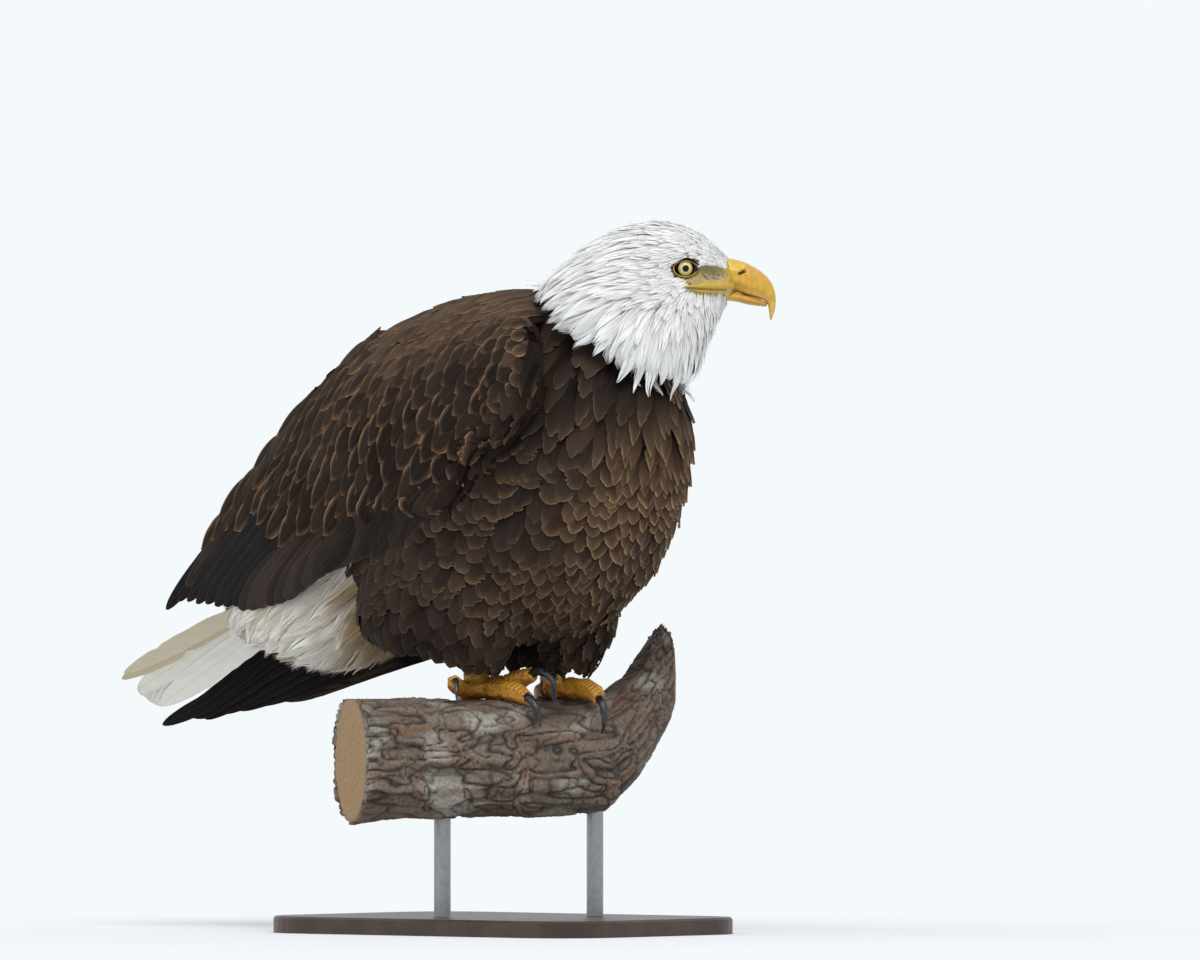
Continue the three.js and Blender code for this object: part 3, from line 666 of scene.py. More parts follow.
def bare_skin(points):
    """Above 0 on the bare skin before the eye, round it and along the gape."""
    place = head_place(points)
    lore = (place - LORE["middle"]) / (LORE["reach"], LORE["height"])
    eye = norm((place - EYE_PLACE + (-0.4, 0.6)) / (10.6, 8.6))
    gape = place[:, 1] - np.interp(place[:, 0], GAPE[:, 0], GAPE[:, 1])
    open_to = ramp(53, 74, place[:, 0])
    gape = np.maximum(gape / mix(0.8, 6.5, open_to), -gape / mix(0.6, 2.8, open_to))
    gape = np.where(place[:, 0] > GAPE[0, 0] - 2, gape, 9)
    on_head = place[:, 1] > 370
    return np.where(on_head, 1 - np.minimum(np.minimum(norm(lore), eye), gape), -1)


def socket(points):
    """1 at the eyes and their lids, 0 away from them."""
    place = head_place(points)
    away = norm((place - EYE_PLACE + (-0.6, 0.5)) / (13.4, 10.6))
    return ramp(1.12, 0.86, away) * (place[:, 1] > 390)


def on_lids(path):
    """Whether each line passes over an eye's lids."""
    away = (head_place(path.reshape(-1, 3)) - EYE_PLACE + (-0.6, 0.4)) / (11.4, 8.9)
    return (norm(away) < 1).reshape(len(path), -1).any(1)


def forehead(points):
    """How far the crown's feathers stand over the form."""
    place = head_place(points)
    return 3.5 * bell((place[:, 0] - 66) / 34) * ramp(422, 440, place[:, 1])


COAT_DEPTH = np.array([3.5, 6, 7, 7, 7, 7, 4, 4])  # over each node of flesh


def skin():
    mesh = form_mesh.copy()
    mesh.name = "skin"
    points, normals = get_points(mesh), get_normals(mesh)
    owner = np.zeros(len(points), int)
    for face, own in zip(form.faces, face_owner):
        owner[face] = own
    bare = ramp(-0.1, 0.25, bare_skin(points))
    depth = (COAT_DEPTH[owner] - forehead(points)) * (1 - bare) + 5 * socket(points)
    tint = mix(srgb(36, 28, 24), srgb(222, 220, 214), ramp(4, 16, over_hem(points))[:, None])
    tint = np.where((owner == FLESH.index("tail_coverts"))[:, None], srgb(165, 155, 135), tint)
    bare_tint = mix(srgb(128, 114, 76), srgb(176, 150, 84), ramp(396, 386, points[:, 2])[:, None])
    tint = mix(tint, bare_tint, bare[:, None])
    uv_map(mesh, "OFBake", unwrap(points))
    # the wings' thin rear moves in whole
    thin = ramp(-175, -245, points[:, 0]) * ramp(30, 52, np.abs(points[:, 1]))
    points = points - normals * depth[:, None]
    points[:, 1] -= 12 * thin * np.sign(points[:, 1])
    material = tinted("skin_down", 420.0, 3.0, (0.75, 1.12), 0.9, (0.5, 0.0015), Specular_IOR_Level=0.03)
    show("skin", mesh, material, FLESH, points, tint)


def candidates(mask, spacing, surface=None):
    """Points at random on the faces of a surface in mask, about spacing apart, and the normals there."""
    surface = surface or hull
    faces = np.flatnonzero(mask)
    area = face_areas[faces]
    picked = random.choice(faces, int(area.sum() / spacing**2), p=area / area.sum())
    corners = np.array([surface.points[(surface.faces[i] * 2)[:4]] for i in picked])
    u, v = uniform(0, 1, (2, len(picked), 1))
    at = mix(mix(corners[:, 0], corners[:, 1], u), mix(corners[:, 3], corners[:, 2], u), v)
    return at, surface.face_normal[picked]


def toned(colour, spread, count):
    """A colour for each feather, paler or darker by up to spread."""
    return colour * uniform(1 - spread, 1 + spread, (count, 1))


# ---- head and neck

# how the white feathers lie in the head's plane: ahead, height, heading ahead and up, length, half width, lift
HEAD_LIE = [
    [95, 426, -0.8, 0.5, 10, 0.8, 2],
    [75, 440, -0.9, 0.25, 14, 1.0, 4],
    [44, 450, -1, -0.05, 20, 1.2, 4],
    [2, 440, -1, -0.35, 28, 1.5, 3],
    [-32, 426, -1, -0.4, 34, 1.7, 4],
    [-57, 409, -1, -0.35, 38, 1.8, 5],
    [-69, 389, -1, -0.15, 42, 1.9, 6],
    [-32, 406, -1, -0.25, 34, 1.6, 3],
    [-49, 372, -1, -0.4, 42, 1.9, 4],
    [-15, 358, -0.9, -0.6, 40, 1.9, 3],
    [19, 399, -1, -0.12, 24, 1.2, 1.5],
    [-5, 341, -0.4, -1, 44, 2.0, 2],
    [19, 350, -0.25, -1, 40, 1.8, 2],
    [44, 341, -0.1, -1, 40, 1.8, 2.5],
    [61, 324, 0.05, -1, 40, 1.8, 3],
    [53, 372, -0.45, -0.9, 22, 1.3, 1.5],
    [78, 365, 0.1, -1, 24, 1.3, 3],
    [95, 375, 0.3, -1, 12, 0.9, 1.5],
    [61, 421, -1, -0.22, 11, 0.9, 1],
    [80, 416, -1, -0.1, 9, 0.8, 0.5],
    [44, 389, -1, -0.25, 14, 1.0, 0.8],
    [58, 383, -0.6, -0.8, 10, 0.8, 0.5],
    [75, 380, -0.1, -1, 10, 0.8, 0.5],
]


def white_lie(at, normal):
    ahead, up, length, half, lift = field(head_place(at), HEAD_LIE)
    yaw = np.radians(mix(NECK_YAW, HEAD_YAW, ramp(340, 410, at[:, 2])))
    flow = on_surface(np.stack([ahead * np.cos(yaw), ahead * np.sin(yaw), up], 1), normal)
    return turned(flow, normal, 0.2 * ripple(at, 13, 3)), length, half, lift


def resampled(path, place):
    """Points of lines at places given in rows from their roots."""
    place = np.clip(place, 0, path.shape[1] - 1.001)
    row = place.astype(int)
    line = np.arange(len(path))[:, None]
    return mix(path[line, row], path[line, row + 1], (place - row)[..., None])


def gathered(surface, at, flow, length, rows, lock, lift, pull, depth, droop=0.1, limit=None, free=0.0, fringe=0.0):
    """Lines that draw together into locks with pointed tips.

    lock is how much room a lock has across. limit says of points how far they are inside the coat's hem, and
    each lock ends up to fringe past it.
    """
    lock, pull, depth, free, fringe = filled(len(at), lock, pull, depth, free, fringe)
    centre = spread_over(at, flow, lock, length * 0.5)
    count = len(centre)
    middle, _ = lay(surface, at[centre], flow[centre], length[centre] * 1.25, 20, 0, 0, droop, free[centre])
    even = np.interp(np.linspace(0, 1, 21), tip_rows(20), np.arange(21.0))
    middle = resampled(middle, np.broadcast_to(even, (count, 21)))
    past = uniform(-1, 0.1, (count, 1)) * fringe[centre, None]
    end = np.full(count, 20.0)
    if limit is not None:
        out = limit(middle.reshape(-1, 3)).reshape(count, -1) < past
        end = np.where(out.any(1), out.argmax(1), 20.0)
    d = at[:, None] - at[centre][None]
    ahead = np.einsum("ijk,jk->ij", d, flow[centre])
    aside = np.einsum("ijk,ijk->ij", d, d) - ahead**2
    owner = np.argmin(aside / lock[centre] ** 2 + np.where(ahead < 0, 4, 0.3) * ahead**2 / length[centre] ** 2, 1)
    ahead = ahead[np.arange(len(at)), owner]
    path, normals = lay(surface, at, flow, length, rows, 0, 0, droop, free)
    t = tip_rows(rows)
    step = length[centre][owner] * 1.25 / 20
    stop = end[owner] * uniform(0.9, 1.0, len(at))
    share = np.clip((stop * step - ahead) / length, 0, 1)
    keep = share > 0.42
    row = rows * (1 - (1 - t * share[:, None]) ** (2 / 3))
    path, normals = resampled(path, row), resampled(normals, row)
    place = (ahead[:, None] + t * (share * length)[:, None]) / step[:, None]
    target = resampled(middle[owner], place)
    drawn = (pull[:, None] * t**1.3)[..., None]
    own_lift = lift * uniform(0.15, 1.1, count)[owner] * uniform(0.8, 1.2, len(at))
    path = mix(path, target, drawn) + normals * (own_lift[:, None] * t**1.5 - depth[:, None] * (1 - t))[..., None]
    return path[keep], normals[keep], keep, share[keep]


def white_coat():
    mask = (over_hem(face_middles) > 1) & ~owned_by("tail_coverts", *WING_COVERTS)
    mask &= (face_middles[:, 0] > 15) & ((hull.face_normal[:, 2] > -0.3) | (over_hem(face_middles) > 22))
    material = feather_material("white_vane", srgb(240, 240, 238), 0.6, rough=0.85, barbs=0.1, depth=0.05, streaks=True)
    for name, spacing, columns, rows in (("white_vanes", 0.85, VANE[::2], 7), ("white_barbs", 1.8, HAIR, 5)):
        at, normal = candidates(mask, spacing)
        flow, length, half, lift = white_lie(at, normal)
        if columns is HAIR:
            picked = np.flatnonzero(bare_skin(at) < -0.02)
            length = length * uniform(0.6, 1.1, len(at))
            lift, half = lift * 1.15 + 0.3, np.full(len(at), 0.22)
        else:
            picked = spread_over(at, flow, half * 1.3, length * 0.26)
            picked = picked[bare_skin(at[picked]) < -0.02]
            half = half * 1.25
        at, normal, flow, length, half, lift = pick(picked, at, normal, flow, length, half, lift)
        near = ramp(55, 15, over_hem(at))
        lock = 2.4 + 0.15 * length + 2 * near
        pull = np.clip(length / 45, 0.25, 0.8) + 0.15 * near
        depth = np.minimum(length * 0.1, 2.6) - forehead(at)
        flow = turned(flow, normal, jitter(len(at), 0.06))
        path, normals, kept, share = gathered(
            hull, at, flow, length * (1 + 0.25 * near), rows, lock, lift + 2.5 * near, pull, depth,
            0.12, over_hem, 0.92 * near, 17)
        path, normals, half = pick(~on_lids(path), path, normals, half[kept] * mix(0.45, 1, share))
        count = len(path)
        tint = toned(srgb(248, 248, 246), 0.04, count)
        half = half * uniform(0.8, 1.2, count)
        feathers = Feathers(
            path, normals, half, tint, columns=columns, ragged=0.15 if rows > 5 else 0, roll=jitter(count, 0.15),
            painted_root_shade=0.82, **STRAND)
        feather_piece(name, [feathers], material)


# ---- the brown body

# how the body's feathers are: x, z, half width, length shown, warmth, how pointed, comb, rim
BODY_LIE = [
    [175, 282, 7, 22, 0.9, 1, 0.03, 0.6],
    [203, 243, 7.5, 20, 1, 0.8, 0.05, 0.7],
    [154, 198, 8, 13, 0.9, 0.2, 0.1, 1],
    [190, 163, 8, 12, 1, 0.2, 0.1, 1],
    [192, 140, 6, 19, 0.8, 0.4, 0.1, 0.8],
    [109, 238, 15, 18, 0.1, 0, 0.25, 0.5],
    [72, 186, 15, 21, 0, 0, 0.3, 0.45],
    [142, 300, 10, 26, 0.1, 0.6, 0.05, 0.25],
    [99, 300, 12, 26, 0, 0.2, 0.2, 0.3],
    [38, 172, 16, 19, 0, 0, 0.35, 0.4],
    [-38, 124, 14, 22, 0, 0, 0.4, 0.25],
    [71, 132, 9, 14, 0.4, 0.1, 0.25, 0.7],
    [127, 115, 8, 17, 0.4, 0.2, 0.2, 0.7],
    [164, 152, 9, 16, 0.5, 0.2, 0.15, 0.8],
    [52, 72, 8, 18, 0.2, 0.1, 0.5, 0.5],
    [-8, 66, 11, 20, 0.1, 0, 0.6, 0.4],
    [-70, 90, 11, 24, 0, 0, 0.5, 0.2],
    [100, 60, 8, 18, 0.3, 0.1, 0.4, 0.5],
]
# the body's feathers lie over the wing's front, ahead of this line: z, x
WING_FRONT = [[120, -110], [174, -50], [229, 30], [261, 48], [299, 80], [330, 71], [352, 58], [384, 36]]
DARK, WARM, TAN = srgb(48, 39, 35), srgb(80, 62, 48), srgb(176, 148, 112)


def ahead_of_wing(points):
    return points[:, 0] - lines(points[:, 2], WING_FRONT)


def on_top(points, normals):
    return (normals[:, 2] > 0.55) & (points[:, 2] > 240)


def by_wing_edge(points):
    """1 along the crease under a wing's lower edge, 0 away from it."""
    gap = points[:, 2] - lines(points[:, 0], WING_EDGES)[0] + 8 * (points[:, 1] > 0)
    return ramp(36, 14, np.abs(gap)) * (points[:, 0] < 95)


def brown_coat():
    wings = owned_by(*WING_COVERTS)
    body = owned_by("trunk", "neck") | (wings & (ahead_of_wing(face_middles) > -14))
    body &= (over_hem(face_middles) < 9) & ~(on_top(face_middles, hull.face_normal) & (face_middles[:, 0] < 62))
    body &= (hull.face_normal[:, 2] > -0.4) | (~wings & (face_middles[:, 2] < 200))
    body &= (face_middles[:, 0] > -165) | (face_middles[:, 2] > 230)
    material = feather_material("brown_vane", TAN, 1.2, srgb(112, 88, 65), (srgb(60, 50, 43), 0.3))
    for name, mask in (("brown_vanes", body), ("trouser_vanes", owned_by("thigh_right", "thigh_left"))):
        surface = plump if name[0] == "b" else hull
        at, normal = candidates(mask, 2.2, surface)
        half, shown, warm, pointed, comb, fringe = field(at[:, ::2], BODY_LIE, 16)
        lean = mix(-0.45, -0.22, ramp(90, 180, at[:, 0]))
        down = np.stack([lean, 0 * lean, 0 * lean - 1], 1)
        flow = turned(on_surface(down, normal), normal, 0.22 * ripple(at, 34, 5))
        crease = by_wing_edge(at)
        key = uniform(0, 4, len(at)) - at[:, 2]
        picked = spread_over(at, flow, half * (1.2 - 0.3 * crease), shown * (0.8 - 0.2 * crease), key)
        at, normal, flow, half, shown, warm, pointed, comb, fringe, down = pick(
            picked, at, normal, flow, half, shown, warm, pointed, comb, fringe, down)
        count = len(at)
        length = shown * uniform(1.9, 2.5, count)
        trousers = name == "trouser_vanes"
        low = ramp(95, 60, at[:, 2]) * trousers
        # the lowest hang to the feet, and lower on the left leg and behind the toes
        end = uniform(6, 30, count) + 18 * ramp(-45, -80, at[:, 0]) + 5 * (at[:, 1] < 0)
        length = mix(length, np.maximum(at[:, 2] - end, 16), ramp(80, 50, at[:, 2]) * trousers)
        crease = by_wing_edge(at)
        flow = turned(flow, normal, jitter(count, 0.16))
        flow = unit(mix(flow, unit(down), np.maximum(0.8 * low, 0.4 * crease)[:, None]))
        ahead = ahead_of_wing(at)
        over = 3 * ramp(-16, 15, ahead) * ramp(60, 20, ahead) * (at[:, 2] > 150)
        over = over * ramp(350, 315, at[:, 2])
        rise = uniform(-0.5, 2.2, count) + over
        path, normals = lay(
            surface, at, flow, length, 18, 5.0 - over, rise, 0.15, np.maximum(0.95 * low, 0.4 * crease))
        # those that would crumple in a crease are left out
        heading = unit(np.diff(path, axis=1))
        even = (heading[:, 1] * heading[:, -1]).sum(1) > 0.25
        path, normals, at, half, warm, fringe, pointed, comb = pick(
            even, path, normals, at, half, warm, fringe, pointed, comb)
        count = len(at)
        warm = np.clip(warm + 0.35 * ripple(at, 26, 2), 0, 1)[:, None]
        tint = mix(DARK, WARM, warm) * uniform(0.7, 1.2, (count, 1))
        vanes = Feathers(
            path, normals, half * uniform(0.85, 1.15, count), tint, fringe * uniform(0.45, 1.1, count),
            round_to=mix(2.2, 1.4, pointed), pinch=mix(0.55, 0.95, pointed), widest=0.5, foot=0.45, ragged=0.06,
            splits=comb, roll=jitter(count, 0.12), painted_root_shade=0.3, edged=(0.5, 0.97))
        feather_piece(name, [vanes], material)


def mantle():
    """Long smooth feathers along the back and over the wings' tops."""
    mask = owned_by("trunk", "neck", *WING_COVERTS) & on_top(face_middles, hull.face_normal)
    mask &= (over_hem(face_middles) < 9) & (face_middles[:, 0] < 82)
    at, normal = candidates(mask, 3.0)
    flow = turned(on_surface(np.array([-1.0, 0, -0.3]), normal), normal, 0.12 * ripple(at, 60, 5))
    picked = spread_over(at, flow, 10.5, 22.0)
    at, normal, flow = pick(picked, at, normal, flow)
    count = len(at)
    flow = turned(flow, normal, jitter(count, 0.06))
    path, normals = lay(hull, at, flow, uniform(52, 68, count), 12, 3.0, uniform(-1.0, 0.1, count))
    vanes = Feathers(
        path, normals, uniform(8.5, 11, count), toned(srgb(84, 70, 58), 0.22, count), uniform(0.1, 0.4, count),
        pinch=0.6, foot=0.5, ragged=0.05, splits=0.02, roll=jitter(count, 0.05))
    material = feather_material("mantle_vane", srgb(120, 98, 76), 0.9, srgb(82, 67, 56), (srgb(104, 88, 74), 0.3))
    feather_piece("mantle_vanes", [vanes], material)


def vent_coat():
    """Long silky strands in locks under the tail's foot."""
    material = feather_material("vent_vane", srgb(234, 232, 226), 0.6, rough=0.85, barbs=0.2, depth=0.12, streaks=True)
    behind = owned_by("trunk") & (face_middles[:, 0] < -160) & (face_middles[:, 2] < 145)
    for name, spacing, columns, rows in (("vent_vanes", 1.5, VANE[::2], 8), ("vent_barbs", 2.3, HAIR, 6)):
        at, normal = candidates(owned_by("tail_coverts") | behind, spacing)
        flow = turned(on_surface(np.array([-1.0, 0, -0.5]), normal), normal, 0.4 * ripple(at, 30, 9))
        half = uniform(1.6, 3.2, len(at))
        if columns is HAIR:
            half = np.full(len(at), 0.27)
        else:
            picked = spread_over(at, flow, half * 1.5, 13.0)
            at, normal, flow, half = pick(picked, at, normal, flow, half)
        count = len(at)
        under = ramp(0.1, -0.6, normal[:, 2])
        length = uniform(42, 80, count) * mix(1, 0.8, under)
        lift = uniform(0.5, 5, count) + 6 * under
        path, normals, kept, _ = gathered(
            hull, at, turned(flow, normal, jitter(count, 0.15)), length, rows, 13.0, lift, 0.85, 3.0, 0.25, free=0.3)
        at = at[kept]
        count = len(at)
        near_legs = ramp(-195, -145, at[:, 0]) * ramp(150, 105, at[:, 2])
        brown = ramp(0.0, 0.5, ripple(at, 30, 4)) * 0.6 + near_legs
        tint = mix(srgb(242, 238, 228), srgb(176, 148, 110), np.clip(brown, 0, 1)[:, None])
        dark = (at[:, 0] > -165) & (at[:, 2] > 118) & (uniform(0, 1, count) < 0.12) & (columns is HAIR)
        tint = np.where(dark[:, None], srgb(70, 60, 54), tint) * uniform(0.9, 1.05, (count, 1))
        feathers = Feathers(
            path, normals, half[kept], tint, columns=columns, ragged=0.15 if rows > 6 else 0,
            roll=jitter(count, 0.2), painted_root_shade=0.8, **STRAND)
        feather_piece(name, [feathers], material)


# ---- wings

WING_EDGES = [  # x, lower edge, upper edge, where the coverts end, as a share of the way up
    [108, 284, 310, 0], [92, 255, 347, 0], [58, 226, 371, 0], [20, 193, 386, 0], [-25, 163, 390, 0.02],
    [-78, 147, 380, 0.05], [-137, 136, 363, 0.11], [-197, 117, 333, 0.17], [-256, 92, 288, 0.26],
    [-285, 88, 262, 0.38], [-313, 84, 232, 0.52], [-379, 82, 161, 0.8], [-448, 72, 92, 1],
]
WING_TIPS = [[-340, 89], [-355, 88], [-370, 88], [-385, 90], [-400, 90], [-414, 92], [-428, 92], [-446, 84]]
TIP_BACK, TIP_DROP, WRIST_DROP = 56, 112, 8  # of the left wing, which hangs lower
DROOP_FROM, DROOP_SPAN, DROOP_POWER = 60, 460, 1.7
# how the coverts lie: x, z, half width, length shown, degrees down from straight back, rim, greyness
WING_LIE = [
    [100, 320, 6, 8, 48, 0.8, 0.3],
    [95, 290, 7, 11, 50, 0.7, 0.2],
    [70, 340, 6.5, 9, 42, 0.8, 0.5],
    [58, 313, 13, 13, 40, 0.9, 0],
    [60, 250, 12, 16, 52, 0.9, 0],
    [25, 300, 16, 19, 40, 0.9, 0],
    [-6, 284, 17, 21, 35, 1, 0],
    [-10, 230, 15, 22, 48, 1, 0],
    [-60, 250, 14, 23, 55, 1, 0],
    [-94, 217, 15, 28, 62, 1, 0],
    [-60, 175, 16, 30, 50, 1, 0],
    [20, 375, 4.6, 14, 35, 0.25, 1],
    [-60, 365, 5, 15, 36, 0.3, 1],
    [-20, 335, 9, 15, 36, 0.7, 0.5],
    [-130, 335, 8, 19, 36, 0.5, 0.8],
    [-160, 290, 10, 19, 46, 0.9, 0.2],
    [-140, 230, 13, 25, 60, 1, 0],
    [-220, 230, 12, 23, 55, 0.9, 0.1],
    [-210, 160, 14, 30, 50, 1, 0],
    [-270, 180, 11, 28, 48, 0.8, 0],
]


def hung(x, z, side):
    """Where a point of a folded wing is on that side's wing, which may hang lower."""
    if side == RIGHT:
        return x, z
    low, high, _ = lines(x, WING_EDGES)
    up = (z - low) / np.maximum(high - low, 1)
    share = np.clip((DROOP_FROM - x) / DROOP_SPAN, 0, 1) ** DROOP_POWER
    return x - TIP_BACK * share, z - TIP_DROP * share - WRIST_DROP * (1 - share) * (1 - up)


def slanted(degrees):
    """Headings in x and z, that many degrees down from straight back."""
    turn = np.radians(degrees)
    return np.stack([-np.cos(turn), -np.sin(turn)], -1)


def powers(x, z):
    """The terms of a curved surface of the third degree."""
    x, z = x / 200, (z - 200) / 200
    return np.stack([1 + 0 * x, x, z, x * x, x * z, z * z, x**3, x * x * z, x * z * z, z**3], -1)


class WingSide:
    """A folded wing's outer side: the body's form near the shoulder, and one smooth curved surface towards the tip."""

    def __init__(self, name, side):
        self.side = side
        surface = nodes_surface([f"{name}_secondaries", f"{name}_primaries"], hull)
        x, up = (v.ravel() for v in np.meshgrid(np.linspace(-430, -110, 60), np.linspace(0.04, 0.86, 14)))
        low, high, _ = lines(x, WING_EDGES)
        z = mix(low, high, up)
        out = surface.beside(*hung(x, z, side), side)[0][:, 1] * side
        terms = powers(x, z)
        for _ in range(3):
            self.terms = np.linalg.lstsq(terms, out, rcond=None)[0]
            out = np.maximum(out, terms @ self.terms - 2)

    def curve(self, x, z):
        return powers(x, z) @ self.terms

    def path(self, root, tip, rows, depth, rise, sag=0.0, stiff=False):
        """Lines on the wing from their roots to their tips, each given by x and z."""
        t = tip_rows(rows)
        x = mix(root[:, None, 0], tip[:, None, 0], t)
        z = mix(root[:, None, 1], tip[:, None, 1], t) + np.reshape(sag, (-1, 1)) * np.sin(np.pi * t)
        place = hung(x.ravel(), z.ravel(), self.side)
        at, normal = (v.reshape(len(root), rows + 1, 3) for v in hull.beside(*place, self.side))
        curve = self.curve(x, z)
        share = ramp(-110, -190, x)
        asked = np.reshape(place, (2, *x.shape))
        held = np.hypot(at[..., 0] - asked[0], at[..., 2] - asked[1]) < 0.5
        out = mix(at[..., 1] * self.side, np.where(held, np.maximum(at[..., 1] * self.side, curve), curve), share)
        for _ in range(6 * stiff):
            out[:, 1:-1] = (out[:, :-2] + out[:, 1:-1] + out[:, 2:]) / 3
        at = np.stack([mix(at[..., 0], asked[0], share), out * self.side, mix(at[..., 2], asked[1], share)], -1)
        slope_x = self.curve(x + 1, z) - curve
        slope_z = self.curve(x, z + 1) - curve
        smooth = unit(np.stack([-slope_x, 0 * x + self.side, -slope_z], -1))
        normal = unit(mix(unit(normal + normal.mean(1, keepdims=True)), smooth, share[..., None]))
        low, high = (v[:, None] for v in filled(len(root), depth, rise))
        return at + normal * (high * t - low * (1 - t) ** 3)[..., None], normal


def covert_vanes(shape, side):
    x, up = uniform(-400, 100, 30000), uniform(-0.02, 0.95, 30000)
    low, high, line = lines(x, WING_EDGES)
    kept = (up > line) & (x < lines(mix(low, high, up), WING_FRONT) - 1)
    x, z = x[kept], mix(low, high, up)[kept]
    half, shown, slope, rim, grey = field(np.stack([x, z], 1), WING_LIE, 14)
    heading = slanted(slope)
    flat = np.insert(np.stack([x, z], 1), 1, 0, axis=1)
    key = uniform(0, 9, len(x)) - x - 0.35 * z
    picked = spread_over(flat, np.insert(heading, 1, 0, axis=1), half * 1.45, shown * 0.78, key)
    x, z, half, shown, slope, rim, grey = pick(picked, x, z, half, shown, slope, rim, grey)
    count = len(x)
    tip = np.stack([x, z], 1)
    length = shown * uniform(2.1, 2.6, count)
    ahead = (lines(z, WING_FRONT) + 5 - x) / np.cos(np.radians(slope))
    length = np.minimum(length, np.maximum(ahead, 15))
    root = tip - slanted(slope + jitter(count, 6)) * length[:, None]
    path, normal = shape.path(root, tip, 14, 6.0, uniform(-0.2, 1.6, count), jitter(count, 2))
    grey = grey[:, None]
    tint = mix(srgb(38, 30, 25), srgb(82, 67, 55), grey) * uniform(0.65, 1.35, (count, 1))
    tint[np.argmin((x - 58) ** 2 + (z - 313) ** 2)] = srgb(74, 59, 48)  # one worn, paler feather
    pointed = grey[:, 0]
    return Feathers(
        path, normal, half * uniform(0.95, 1.2, count), tint, rim * uniform(0.6, 1.0, count),
        round_to=mix(2.3, 1.6, pointed), pinch=mix(0.55, 0.8, pointed), widest=0.5, foot=0.5, camber=0.22,
        ragged=0.03, splits=0.015, roll=jitter(count, 0.06) + 0.1 * side, painted_root_shade=0.7)


def wing(side):
    name = sided("wing", side)
    right = side == RIGHT
    shape = WingSide(name, side)
    covert = feather_material(
        name + "_covert_vane", srgb(172, 140, 106), 1.1, srgb(106, 80, 60), (srgb(70, 58, 48), 0.3))
    feather_piece(name + "_covert_vanes", [covert_vanes(shape, side)], covert)
    quill = feather_material(
        name + "_quill_vane", srgb(104, 82, 62), 1.0, srgb(50, 37, 30), (srgb(66, 58, 54), 0.35), 0.55)

    def blades(tip, slope, length, rise, half, tint, fringe):
        root = tip - slanted(slope) * length[:, None]
        path, normal = shape.path(root, tip, 24, 5.0, rise, stiff=True)
        return Feathers(path, normal, half, tint, fringe, round_to=2.4, pinch=0.52, widest=0.7, foot=0.8, camber=0.08,
                        ragged=0.012, roll=0.1 * side)

    # secondaries: their tips make the wing's lower edge
    order = np.linspace(0, 1, 20)
    x = mix(-30, -330, order)
    tip = np.stack([x, lines(x, WING_EDGES)[0] + 2], 1)
    slope = mix(46, 36, order) if right else mix(30, 2, order)
    tint = srgb(42, 33, 28) * uniform(0.6, 1.7, (len(order), 1))
    lower = blades(tip, slope, mix(80, 150, order), mix(0.5, -0.5, order), mix(12.5, 13.5, order), tint, 0.35)
    flight = [lower]
    if not right:
        # the left wing hangs open, so a second row closes it under the coverts
        order = np.linspace(0, 1, 12)
        x = mix(-70, -280, order)
        tip = np.stack([x, lines(x, WING_EDGES)[0] + 28], 1)
        slope, half = mix(30, 10, order), mix(12.5, 13.5, order)
        flight.append(blades(tip, slope, mix(90, 130, order), mix(-1.0, -1.5, order), half, tint[:12], 0.3))
    feather_piece(name + "_secondary_vanes", flight, quill, [f"{name}_secondaries"])
    # primaries: the wing's tip, and the long feathers over them at its rear edge
    low = np.array(WING_TIPS, float)
    order = np.linspace(0, 1, len(low))
    slope = mix(34, 40, order) if right else mix(0, 24, order)
    tint = toned(srgb(21, 19, 21), 0.25, len(low))
    tips = blades(low, slope, mix(170, 235, order), mix(-0.5, -1.5, order), mix(12, 9, order), tint, 0.12)
    up = np.linspace(0, 1, 11)
    rear = np.stack([mix(-290, -414, up), mix(226, 106, up)], -1)
    rear = rear if right else mix(rear, [-270, 120], 0.3)
    slope = mix(50, 42, up) if right else mix(40, 20, up)
    tint = toned(srgb(42, 34, 29), 0.4, len(rear))
    above = blades(rear, slope, mix(90, 165, up), mix(0.6, 0, up), mix(10, 8, up), tint, 0.5)
    feather_piece(name + "_primary_vanes", [tips, above], quill, [f"{name}_primaries"])


# ---- tail

TAIL = {"root": (-215, 150), "pitch": 27.3, "roll": 40, "rolled_by": 180}


def tail_point(along, left, up):
    """A point of the tail, which turns about its own line between its root and its feathers' middle."""
    roll = np.radians(TAIL["roll"]) * np.clip(along / TAIL["rolled_by"], 0, 1)
    y = left * np.cos(roll) + up * np.sin(roll)
    w = -left * np.sin(roll) + up * np.cos(roll)
    pitch = np.radians(TAIL["pitch"])
    x = -along * np.cos(pitch) - w * np.sin(pitch)
    z = -along * np.sin(pitch) + w * np.cos(pitch)
    return np.stack([TAIL["root"][0] + x, y, TAIL["root"][1] + z], -1)


def tail():
    # each feather: length, left at its tip, left at its root, up, half width, how buff
    order = np.linspace(-1, 1, 10)
    main = [[320 - 9 * o * o, 10 + 14 * o, 8 + 8 * o, 5 - 9 * abs(o), 16, 0.1] for o in order]
    outer = [[309, -26, -6, -9, 12, 1.0], [300, -31, -8, -10.5, 10, 0.8]]
    length, tip, root, lift, half, buff = np.array(main + outer).T[:, :, None]
    t = tip_rows(30)
    along = length * t
    left = mix(root, tip, t**1.3)
    path = tail_point(along, left, lift + 0 * along)
    above = tail_point(along, left, lift + 1 + 0 * along)
    tint = mix(srgb(242, 240, 232), srgb(206, 192, 160), buff) * uniform(0.93, 1.03, (len(length), 1))
    vanes = Feathers(path, unit(above - path), half[:, 0], tint, 0.25, round_to=2.0, pinch=0.6, widest=0.75, foot=0.6,
                     camber=0.06, ragged=0.045, splits=0.05, painted_root_shade=0.9)
    material = feather_material(
        "tail_vane", srgb(212, 206, 188), 0.8, None, (srgb(206, 198, 176), 0.5), 0.65, 0.2, 0.15)
    feather_piece("tail_vanes", [vanes], material, ["tail"])


# ---- eyes and face


